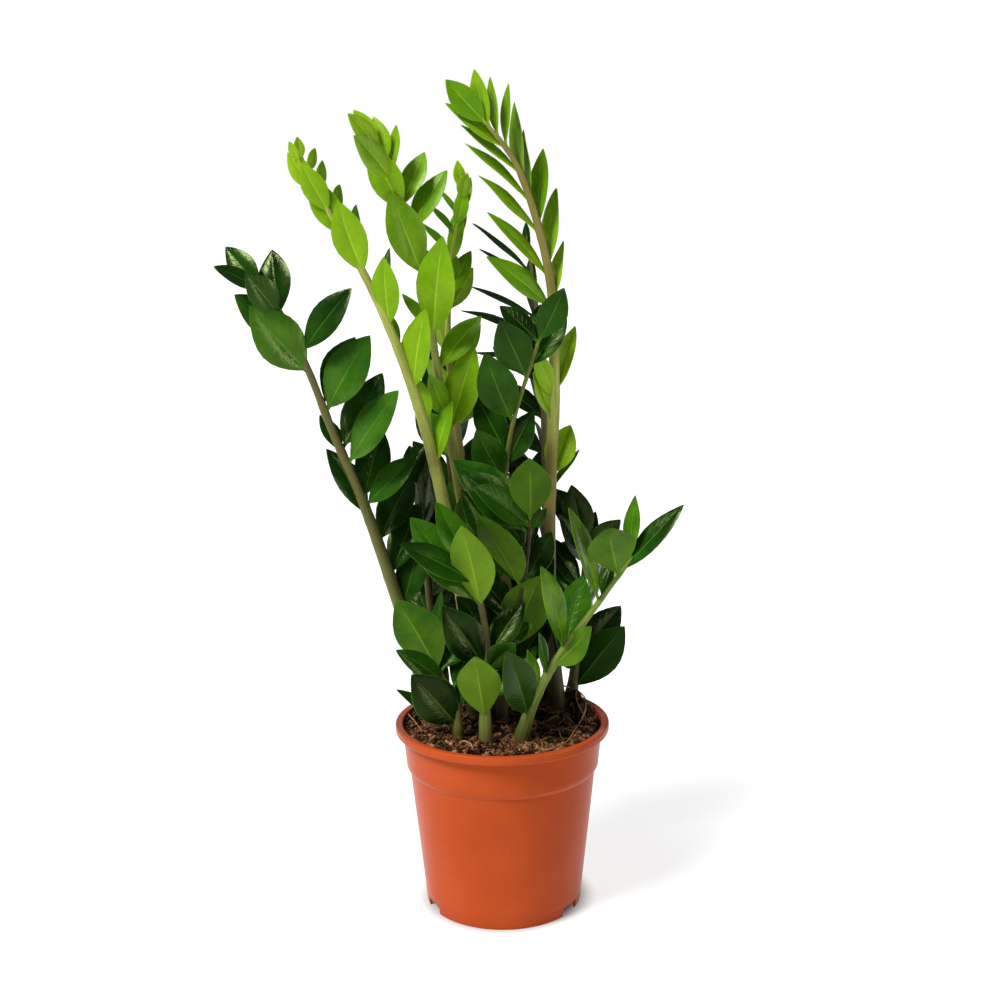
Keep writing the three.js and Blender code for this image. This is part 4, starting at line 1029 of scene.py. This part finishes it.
def make_roots(material, rng):
    """The roots and fine fibres on the soil. A fibre runs from a random place with a heading that turns
    evenly, in an arch over the ground: its height above it is a half sine wave."""
    share = np.linspace(0, 1, ROOT_RINGS)
    paths = []
    for course, _, _ in ROOTS:
        line = line_at(course, share)
        ground = rough_height(line[:, 0], line[:, 1])
        ground = np.convolve(np.pad(ground, 2, "edge"), np.full(5, 0.2), "valid")
        paths.append(np.column_stack([line[:, :2], ground + line[:, 2]]))
    thick = np.array([radius for _, radius, _ in ROOTS])[:, None] * (1.1 - 0.5 * share)
    thick = thick * rng.uniform(0.85, 1.15, thick.shape)
    points, faces = tubes(np.array(paths), thick, ROOT_SIDES)
    tone = np.repeat([tone for _, _, tone in ROOTS], ROOT_RINGS * ROOT_SIDES + 2)
    new_piece("soil_roots", points, faces, material, "soil", "soil", tone=tone)

    x, y = scattered(FIBRES["count"], rng)
    count = len(x)
    share = np.linspace(0, 1, FIBRES["rings"])
    heading = rng.uniform(0, 2 * np.pi, (count, 1)) + rng.uniform(-2, 2, (count, 1)) * share
    step = rng.uniform(*FIBRES["long"], (count, 1)) / FIBRES["rings"]
    course_x = x[:, None] + np.cumsum(step * np.cos(heading), 1)
    course_y = y[:, None] + np.cumsum(step * np.sin(heading), 1)
    out = np.hypot(course_x, course_y)
    inward = np.minimum(1, (POT["collar_top"] - FIBRES["edge"]) / out)
    course_x, course_y = course_x * inward, course_y * inward
    lift = rng.uniform(*FIBRES["lift"], (count, 1)) * np.sin(np.pi * share)
    height = rough_height(course_x, course_y) + FIBRES["ground"] + lift
    thick = rng.uniform(*FIBRES["thick"], (count, 1)) * (1.1 - 0.6 * share)
    points, faces = tubes(np.stack([course_x, course_y, height], -1), thick, FIBRES["sides"])
    tone = np.repeat(rng.uniform(0.2, 1, count), FIBRES["rings"] * FIBRES["sides"] + 2)
    new_piece("soil_fibres", points, faces, material, "soil", "soil", tone=tone)


# ---------------------------------------------------------------- materials

def new_material(name):
    """An empty material, and its node tree."""
    material = bpy.data.materials.new(name)
    material.use_nodes = True
    material.node_tree.nodes.clear()
    return material, material.node_tree


def add(tree, kind, inputs=None, **settings):
    """A node with its settings and inputs. An input is a value or another node's output."""
    node = tree.nodes.new("ShaderNode" + kind)
    for key, value in settings.items():
        setattr(node, key, value)
    for key, value in (inputs or {}).items():
        if isinstance(value, bpy.types.NodeSocket):
            tree.links.new(value, node.inputs[key])
        else:
            node.inputs[key].default_value = value
    return node


def calc(tree, operation, a, b=0.0, c=0.0):
    """One step of arithmetic between numbers or outputs."""
    return add(tree, "Math", {0: a, 1: b, 2: c}, operation=operation).outputs[0]


def band(tree, value, low, high):
    """0 below low and 1 above high, smooth between them."""
    return add(tree, "MapRange", {"Value": value, "From Min": low, "From Max": high},
               interpolation_type="SMOOTHSTEP").outputs[0]


def colour_mix(tree, share, a, b, blend="MIX"):
    """Colour a turning into b. A colour is an output or a red, green and blue."""
    colours = {key: value if isinstance(value, bpy.types.NodeSocket) else (*value, 1)
               for key, value in ((6, a), (7, b))}
    return add(tree, "Mix", {0: share, **colours}, data_type="RGBA", blend_type=blend).outputs[2]


def ramp(tree, share, stops):
    """Colours along a share, as (place, colour) stops."""
    node = add(tree, "ValToRGB", {0: share})
    elements = node.color_ramp.elements
    while len(elements) < len(stops):
        elements.new(0.5)
    for element, (place, colour) in zip(elements, stops):
        element.position = place
        element.color = (*colour, 1)
    return node.outputs[0]


def noise(tree, vector, scale, detail=3.0, rough=0.5):
    """Soft noise around 0.5, with scale blotches a metre."""
    return add(tree, "TexNoise", {"Vector": vector, "Scale": scale, "Detail": detail,
                                  "Roughness": rough}).outputs[0]


def value_of(tree, name):
    """A piece's own value."""
    return add(tree, "Attribute", attribute_name=name, attribute_type="GEOMETRY").outputs["Fac"]


def surface(tree, colour, rough, bump=None, depth=0.0, **fixed):
    """The finished surface: colour, roughness, relief of a depth in metres, and even values."""
    inputs = {"Base Color": colour, "Roughness": rough}
    inputs |= {key.replace("_", " "): value for key, value in fixed.items()}
    if bump is not None:
        relief = add(tree, "Bump", {"Height": bump, "Distance": depth, "Strength": 1.0})
        inputs["Normal"] = relief.outputs[0]
    shader = add(tree, "BsdfPrincipled", inputs)
    add(tree, "OutputMaterial", {"Surface": shader.outputs[0]})


# Upper face and underside from dark to light, midrib, margin, roughness, and gloss of the upper face.
LEAF_COLOURS = dict(
    bright=dict(
        upper=((0.035, 0.13, 0.002), (0.11, 0.27, 0.003), (0.22, 0.41, 0.006), (0.36, 0.55, 0.02)),
        under=((0.12, 0.25, 0.012), (0.28, 0.43, 0.035)),
        rib=(0.42, 0.6, 0.06), margin=(0.34, 0.54, 0.03), rough=0.35, gloss=0.28),
    green=dict(
        upper=((0.003, 0.014, 0.0015), (0.012, 0.062, 0.003), (0.05, 0.16, 0.005), (0.21, 0.38, 0.01)),
        under=((0.03, 0.095, 0.006), (0.16, 0.29, 0.018)),
        rib=(0.16, 0.32, 0.03), margin=(0.1, 0.25, 0.012), rough=0.25, gloss=0.2),
    dark=dict(
        upper=((0.002, 0.008, 0.0015), (0.007, 0.036, 0.003), (0.026, 0.095, 0.006), (0.07, 0.19, 0.012)),
        under=((0.008, 0.034, 0.003), (0.05, 0.12, 0.01)),
        rib=(0.09, 0.22, 0.022), margin=(0.05, 0.15, 0.012), rough=0.21, gloss=0.24),
)


def leaf_material(name, colours):
    """A waxy leaflet: tones, partly painted shade, mottled over each blade, a pale midrib that thins to
    the tip, faint side veins that sweep forwards, a pale margin, a satin upper face and a duller, paler
    underside."""
    material, tree = new_material(name)
    place = add(tree, "TexCoord").outputs["Object"]
    across_along = add(tree, "SeparateXYZ", {0: add(tree, "UVMap", uv_map="UVMap").outputs[0]})
    along = across_along.outputs[1]
    across = calc(tree, "ABSOLUTE", calc(tree, "MULTIPLY_ADD", across_along.outputs[0], 2.0, -1.0))
    mottle = noise(tree, place, 42.0, 4.0, 0.55)
    grain = noise(tree, place, 900.0, 2.0)

    # shade: each leaflet's tone, which is partly painted shade, with mottling and a little lighter
    # towards the root
    shade = calc(tree, "MULTIPLY_ADD", calc(tree, "SUBTRACT", mottle, 0.5), 0.7, value_of(tree, "tone"))
    shade = calc(tree, "MULTIPLY_ADD", calc(tree, "SUBTRACT", 0.5, along), 0.16, shade)
    upper = ramp(tree, shade, list(zip((0.0, 0.33, 0.66, 1.0), colours["upper"])))
    lower = ramp(tree, shade, list(zip((0.1, 0.9), colours["under"])))

    step = calc(tree, "MULTIPLY_ADD", across, -2.1, calc(tree, "MULTIPLY", along, 9.0))
    comb = calc(tree, "PINGPONG", step, 0.5)
    vein = calc(tree, "SUBTRACT", 1.0, band(tree, comb, 0.0, 0.13))
    vein = calc(tree, "MULTIPLY", vein, calc(tree, "SUBTRACT", 1.0, band(tree, across, 0.6, 0.95)))
    below = band(tree, value_of(tree, "under"), 0.6, 0.9)
    colour = colour_mix(tree, below, upper, lower)
    colour = colour_mix(tree, calc(tree, "MULTIPLY", vein, 0.5), colour, (1.22, 1.18, 1.1), "MULTIPLY")

    wide = calc(tree, "MULTIPLY_ADD", calc(tree, "SUBTRACT", 1.0, along), 0.075, 0.012)
    rib = calc(tree, "SUBTRACT", 1.0, band(tree, calc(tree, "DIVIDE", across, wide), 0.35, 1.1))
    rib = calc(tree, "MULTIPLY", rib, calc(tree, "SUBTRACT", 1.0, band(tree, along, 0.72, 1.0)))
    paler = colour_mix(tree, 1.0, colour, (2.2, 1.9, 1.6), "MULTIPLY")
    paler = colour_mix(tree, 0.4, paler, colours["rib"])
    colour = colour_mix(tree, calc(tree, "MULTIPLY", rib, 0.7), colour, paler)
    edge = calc(tree, "MULTIPLY", band(tree, across, 0.955, 1.0), 0.35)
    stalk = calc(tree, "SUBTRACT", 1.0, band(tree, along, 0.02, 0.16))
    pale = calc(tree, "MAXIMUM", edge, calc(tree, "MULTIPLY", stalk, 0.6))
    colour = colour_mix(tree, pale, colour, colours["margin"])

    rough = calc(tree, "MULTIPLY_ADD", mottle, 0.22, colours["rough"] - 0.1)
    rough = calc(tree, "MULTIPLY_ADD", below, 0.3, rough)
    relief = calc(tree, "MULTIPLY_ADD", vein, -0.3, calc(tree, "MULTIPLY", grain, 0.35))
    relief = calc(tree, "ADD", relief, calc(tree, "MULTIPLY", noise(tree, place, 160.0, 2.0), 1.3))
    gloss = calc(tree, "MULTIPLY_ADD", below, -0.6 * colours["gloss"], colours["gloss"])
    surface(tree, colour, rough, relief, 0.00022, Specular_IOR_Level=gloss,
            Specular_Tint=(0.8, 1.0, 0.35, 1.0))
    return material


SHADED_SKIN = (0.022, 0.022, 0.008)  # painted shade: the nearly black skin of stems that stand in the plant's shade


def stem_material(name, green, pale, brown):
    """A fleshy stem: smooth green with fine streaks and small flecks drawn out along it, from noise in
    the space of its UV (turned round a circle, and along). The skin turns brown by the piece's brown
    value, and past 1 it turns nearly black with painted shade. It is earthy at the soil."""
    material, tree = new_material(name)
    around_up = add(tree, "SeparateXYZ", {0: add(tree, "UVMap", uv_map="UVMap").outputs[0]})
    angle = calc(tree, "MULTIPLY", around_up.outputs[0], 2 * math.pi)
    drawn = add(tree, "CombineXYZ", {0: calc(tree, "COSINE", angle), 1: calc(tree, "SINE", angle),
                                     2: around_up.outputs[1]}).outputs[0]
    streak = noise(tree, add(tree, "Mapping", {0: drawn, 3: (1.0, 1.0, 0.7)}).outputs[0], 3.2, 5.0, 0.6)
    fleck = noise(tree, add(tree, "Mapping", {0: drawn, 3: (1.0, 1.0, 5.0)}).outputs[0], 7.0, 2.0)
    blotch = noise(tree, add(tree, "TexCoord").outputs["Object"], 40.0, 3.0)
    colour = colour_mix(tree, band(tree, streak, 0.36, 0.64), green, pale)
    share = calc(tree, "ADD", value_of(tree, "brown"),
                 calc(tree, "MULTIPLY", calc(tree, "SUBTRACT", blotch, 0.5), 0.8))
    browned = calc(tree, "MULTIPLY", band(tree, share, 0.1, 0.95), 0.85)
    colour = colour_mix(tree, browned, colour, brown)
    # painted shade: where the brown value passes 1, the skin turns nearly black
    painted_shade = calc(tree, "MULTIPLY", band(tree, share, 0.95, 1.8), 0.93)
    colour = colour_mix(tree, painted_shade, colour, SHADED_SKIN)
    colour = colour_mix(tree, calc(tree, "MULTIPLY", band(tree, fleck, 0.66, 0.74), 0.35), colour,
                        tuple(0.4 * c for c in brown))
    earthy = value_of(tree, "earthy")
    colour = colour_mix(tree, calc(tree, "MULTIPLY", earthy, 0.5), colour, (0.04, 0.022, 0.01))
    rough = calc(tree, "MULTIPLY_ADD", earthy, 0.3, 0.45)
    surface(tree, colour, rough, streak, 0.00015, Specular_IOR_Level=0.25,
            Specular_Tint=(1.0, 1.0, 0.6, 1.0))
    return material


def pot_material():
    """Moulded orange plastic with a satin skin: slow changes of colour, faint flow lines round it, small
    rubbed marks, grey dust on the back and sides of the lip, soil on the lip, and inside under the lip
    a dark band that is soil dust and painted shade."""
    material, tree = new_material("moulded_orange_plastic")
    place = add(tree, "TexCoord").outputs["Object"]
    parts = add(tree, "SeparateXYZ", {0: place})
    height = parts.outputs[2]
    out = add(tree, "VectorMath", {0: place, 1: (1.0, 1.0, 0.0)}, operation="MULTIPLY").outputs[0]
    radius = add(tree, "VectorMath", {0: out}, operation="LENGTH").outputs["Value"]
    cloud = noise(tree, place, 14.0, 3.0)
    skin = noise(tree, place, 1500.0, 2.0)
    flow = noise(tree, add(tree, "Mapping", {0: place, 3: (1.0, 1.0, 9.0)}).outputs[0], 45.0, 2.0)
    colour = ramp(tree, calc(tree, "MULTIPLY_ADD", flow, 0.15, calc(tree, "MULTIPLY", cloud, 0.85)),
                  [(0.3, (0.4, 0.055, 0.011)), (0.7, (0.48, 0.074, 0.016))])
    scuffs = add(tree, "Mapping", {0: place, 2: (0.3, 0.2, 0.9), 3: (1.0, 1.0, 0.2)}).outputs[0]
    scuff = band(tree, noise(tree, scuffs, 420.0, 3.0), 0.66, 0.72)
    colour = colour_mix(tree, calc(tree, "MULTIPLY", scuff, 0.07), colour, (0.62, 0.2, 0.09))
    settled = calc(tree, "MULTIPLY", band(tree, height, 0.1482, 0.1496),
                   band(tree, parts.outputs[1], -0.062, -0.02))
    settled = calc(tree, "MULTIPLY", settled, band(tree, noise(tree, place, 330.0, 4.0, 0.65), 0.3, 0.6))
    colour = colour_mix(tree, calc(tree, "MULTIPLY", settled, 0.85), colour, (0.26, 0.115, 0.08))
    # Just under the lip inside: soil dust, and painted shade where the lip shades the inner wall.
    inside = calc(tree, "SUBTRACT", 1.0, band(tree, radius, 0.0775, 0.081))
    high = band(tree, height, 0.139, 0.146)
    dust_and_shade = calc(tree, "MULTIPLY", calc(tree, "MULTIPLY", inside, high),
                band(tree, noise(tree, place, 260.0, 4.0, 0.6), 0.35, 0.62))
    crumbs = calc(tree, "MULTIPLY", band(tree, height, 0.1445, 0.149),
                  band(tree, noise(tree, place, 520.0, 3.0, 0.6), 0.66, 0.71))
    dust_and_shade = calc(tree, "MAXIMUM", calc(tree, "MULTIPLY", dust_and_shade, 0.8), calc(tree, "MULTIPLY", crumbs, 0.7))
    # soil dust and painted shade: a nearly black brown
    colour = colour_mix(tree, dust_and_shade, colour, (0.05, 0.028, 0.015))
    rough = calc(tree, "MULTIPLY_ADD", cloud, 0.1, calc(tree, "MULTIPLY_ADD", dust_and_shade, 0.3, 0.24))
    relief = calc(tree, "MULTIPLY_ADD", skin, 0.4, calc(tree, "MULTIPLY", flow, 0.15))
    surface(tree, colour, rough, relief, 0.00012, Specular_IOR_Level=0.1,
            Specular_Tint=(1.0, 0.7, 0.5, 1.0))
    return material


def soil_material():
    """Damp peat, with painted shade that makes it near black in its hollows and darker towards the back,
    and brown and reddish grains of several sizes on its lumps."""
    material, tree = new_material("damp_peat")
    place = add(tree, "TexCoord").outputs["Object"]
    coarse = noise(tree, place, 190.0, 5.0, 0.65)
    fine = noise(tree, place, 800.0, 4.0, 0.75)
    grain = calc(tree, "MULTIPLY_ADD", fine, 0.6, calc(tree, "MULTIPLY", coarse, 0.4))
    # painted shade: darker towards the back, where the plant shades the soil
    back = band(tree, add(tree, "SeparateXYZ", {0: place}).outputs[1], -0.045, 0.03)
    # painted shade: the lower the lumps, the nearer to black
    share = calc(tree, "MULTIPLY_ADD", value_of(tree, "high"), 0.26, grain)
    share = calc(tree, "MULTIPLY_ADD", back, -0.1, share)
    colour = ramp(tree, share, [(0.48, (0.003, 0.0015, 0.001)), (0.57, (0.028, 0.012, 0.005)),
                                (0.64, (0.13, 0.052, 0.02)), (0.73, (0.44, 0.23, 0.1))])
    surface(tree, colour, 0.95, grain, 0.0016, Specular_IOR_Level=0.06)
    return material


def bit_material(name, stops, scale):
    """Loose bits in the soil: a colour for each by its tone, with grain in it."""
    material, tree = new_material(name)
    place = add(tree, "TexCoord").outputs["Object"]
    grain = noise(tree, place, scale, 4.0, 0.65)
    tone = calc(tree, "MULTIPLY_ADD", calc(tree, "SUBTRACT", grain, 0.5), 0.9, value_of(tree, "tone"))
    surface(tree, ramp(tree, tone, stops), calc(tree, "MULTIPLY_ADD", grain, 0.2, 0.75), grain, 0.0005,
            Specular_IOR_Level=0.12)
    return material


def sheath_material():
    """Dry papery skin: tan and brown, with ribs drawn out along it."""
    material, tree = new_material("dry_sheath")
    place = add(tree, "TexCoord").outputs["Object"]
    rib = noise(tree, add(tree, "Mapping", {0: place, 3: (1.0, 1.0, 0.12)}).outputs[0], 900.0, 3.0)
    stain = noise(tree, place, 150.0, 3.0)
    colour = ramp(tree, calc(tree, "MULTIPLY_ADD", rib, 0.5, calc(tree, "MULTIPLY", stain, 0.5)),
                  [(0.35, (0.05, 0.023, 0.009)), (0.5, (0.2, 0.1, 0.04)), (0.65, (0.42, 0.26, 0.12))])
    rough = calc(tree, "MULTIPLY_ADD", stain, 0.2, 0.7)
    surface(tree, colour, rough, rib, 0.0005, Specular_IOR_Level=0.1)
    return material


# ---------------------------------------------------------------- making the plant

SLOTS = dict(bright="young_leaf", green="leaf", dark="old_leaf")


def make_plant():
    """Every frond with its leaflets and stem."""
    leaf = {key: leaf_material(key + "_waxy_leaf", colours) for key, colours in LEAF_COLOURS.items()}
    stem = dict(
        bright=stem_material("young_stem", (0.27, 0.34, 0.05), (0.5, 0.55, 0.12), (0.2, 0.14, 0.036)),
        green=stem_material("green_stem", (0.085, 0.15, 0.016), (0.2, 0.27, 0.045), (0.12, 0.075, 0.024)),
        dark=stem_material("old_stem", (0.07, 0.11, 0.02), (0.15, 0.18, 0.045), (0.12, 0.085, 0.03)),
    )
    leaves = place_leaflets()
    for owner, frond in enumerate(FRONDS):
        rng = np.random.default_rng(100 + owner)
        own = {key: value[leaves["owner"] == owner] for key, value in leaves.items()}
        colour = frond["colour"]
        make_leaflets(frond, own, leaf[colour], SLOTS[colour], rng)
        make_stem(frond, own, stem[colour], SLOTS[colour], rng)


def make_ground():
    """The pot, and the soil in it with its crumbs, roots and dry sheaths."""
    make_pot(pot_material())
    make_soil(soil_material())
    crumb = bit_material("crumbs_and_bark", [
        (0.0, (0.006, 0.003, 0.001)), (0.3, (0.045, 0.018, 0.007)), (0.55, (0.2, 0.08, 0.03)),
        (0.8, (0.42, 0.23, 0.1)), (1.0, (0.66, 0.52, 0.32))], 1300.0)
    root = bit_material("dry_roots", [
        (0.1, (0.05, 0.022, 0.009)), (0.5, (0.2, 0.1, 0.04)), (0.9, (0.5, 0.3, 0.14))], 900.0)
    make_crumbs(crumb, np.random.default_rng(11))
    make_roots(root, np.random.default_rng(12))
    make_sheaths(sheath_material(), np.random.default_rng(13))


# ---------------------------------------------------------------- studio

# Metres and degrees. focal_share is the focal length as a share of the picture's width.
CAMERA = dict(back=1.1, height=0.546, pitch=11.2, roll=0.58, focal_share=1.448, sensor=36)
FLOOR_RINGS, FLOOR_COLUMNS = (1, 3, 10, 40.0), 64
# Light from the front, what is added at the back and overhead, and the share that glossy things mirror.
ROOM = dict(front=0.035, behind=0.08, above=0.27, mirrored=0.4)
STRIP_AIM = 0.25  # height on the plant's axis that the strip lamp faces


def make_floor():
    """A wide pale disc that glows a little except under the pot, so that shadows on it stay faint."""
    rows, columns = len(FLOOR_RINGS), FLOOR_COLUMNS
    angle = np.linspace(0, 2 * np.pi, columns, endpoint=False)
    rings = turned([(r, 0) for r in FLOOR_RINGS], angle)[::-1]
    points = np.concatenate([rings.reshape(-1, 3), [[0, 0, 0]]])
    faces = ring_quads(rows, columns).tolist()
    faces += pole_fan((rows - 1) * columns, columns, rows * columns, True).tolist()
    mesh = bpy.data.meshes.new("pale_floor")
    mesh.from_pydata(points.tolist(), [], faces)
    material, tree = new_material("pale_floor")
    place = add(tree, "TexCoord").outputs["Object"]
    cloud = noise(tree, place, 3.0, 2.0)
    away = add(tree, "VectorMath", {0: place}, operation="LENGTH").outputs["Value"]
    glow = calc(tree, "MULTIPLY", band(tree, away, 0.053, 0.078), 0.78)
    surface(tree, ramp(tree, cloud, [(0.3, (0.4, 0.4, 0.4)), (0.7, (0.43, 0.43, 0.425))]), 0.8,
            Emission_Color=(1.0, 1.0, 1.0, 1.0), Emission_Strength=glow)
    mesh.materials.append(material)
    floor = bpy.data.objects.new("pale_floor", mesh)
    bpy.context.scene.collection.objects.link(floor)


def make_room():
    """A white room that is seen as plain white. Its light is strongest overhead and at the back, and
    weak at the front, where the photographer stands."""
    world = bpy.data.worlds.new("white_room")
    world.use_nodes = True
    tree = world.node_tree
    tree.nodes.clear()
    direction = add(tree, "SeparateXYZ", {0: add(tree, "TexCoord").outputs["Generated"]})
    behind = band(tree, direction.outputs[1], -0.5, 0.8)
    above = band(tree, direction.outputs[2], 0.1, 0.9)
    light = calc(tree, "MULTIPLY_ADD", behind, ROOM["behind"], ROOM["front"])
    light = calc(tree, "MULTIPLY_ADD", above, ROOM["above"], light)
    rays = add(tree, "LightPath").outputs
    dimmer = calc(tree, "MULTIPLY_ADD", rays["Is Glossy Ray"], ROOM["mirrored"] - 1, 1.0)
    light = calc(tree, "MULTIPLY", light, dimmer)
    strength = calc(tree, "MAXIMUM", light, rays["Is Camera Ray"])
    room = add(tree, "Background", {0: (1.0, 1.0, 1.0, 1.0), 1: strength})
    add(tree, "OutputWorld", {0: room.outputs[0]})
    bpy.context.scene.world = world


def make_lamp(name, side, front, height, spread, strength):
    """A far soft lamp, in the direction given by how far it stands to the side, front and up."""
    lamp = bpy.data.objects.new(name, bpy.data.lights.new(name, "SUN"))
    lamp.data.angle = math.radians(spread)
    lamp.data.energy = strength
    lamp.rotation_mode = "QUATERNION"
    lamp.rotation_quaternion = Vector((side, -front, height)).to_track_quat("Z", "Y")
    bpy.context.scene.collection.objects.link(lamp)


def make_strip(name, place, size, power):
    """A narrow upright lamp that faces the plant. It shows only as a long highlight on what is glossy."""
    lamp = bpy.data.objects.new(name, bpy.data.lights.new(name, "AREA"))
    lamp.data.shape = "RECTANGLE"
    lamp.data.size, lamp.data.size_y = size
    lamp.data.energy = power
    lamp.visible_diffuse = False
    lamp.location = place
    lamp.rotation_mode = "QUATERNION"
    lamp.rotation_quaternion = (Vector(place) - Vector((0, 0, STRIP_AIM))).to_track_quat("Z", "Y")
    bpy.context.scene.collection.objects.link(lamp)


def make_studio():
    """The white room, the floor, a key lamp high on the left and a strip lamp on the right."""
    bpy.context.scene.view_settings.view_transform = "Standard"
    make_room()
    make_floor()
    make_lamp("key_lamp", -0.95, 0.75, 1.5, 20, 3.75)
    make_strip("strip_lamp", (1.37, -0.64, 0.7), (0.08, 1.6), 13.0)


def make_camera():
    """The photograph's view."""
    camera = bpy.data.objects.new("camera", bpy.data.cameras.new("camera"))
    camera.data.sensor_width = CAMERA["sensor"]
    camera.data.lens = CAMERA["sensor"] * CAMERA["focal_share"]
    camera.matrix_world = (Matrix.Translation((0, -CAMERA["back"], CAMERA["height"]))
                           @ Matrix.Rotation(math.radians(90 - CAMERA["pitch"]), 4, "X")
                           @ Matrix.Rotation(math.radians(-CAMERA["roll"]), 4, "Z"))
    bpy.context.scene.collection.objects.link(camera)
    bpy.context.scene.camera = camera


make_plant()
make_ground()
make_studio()
make_camera()
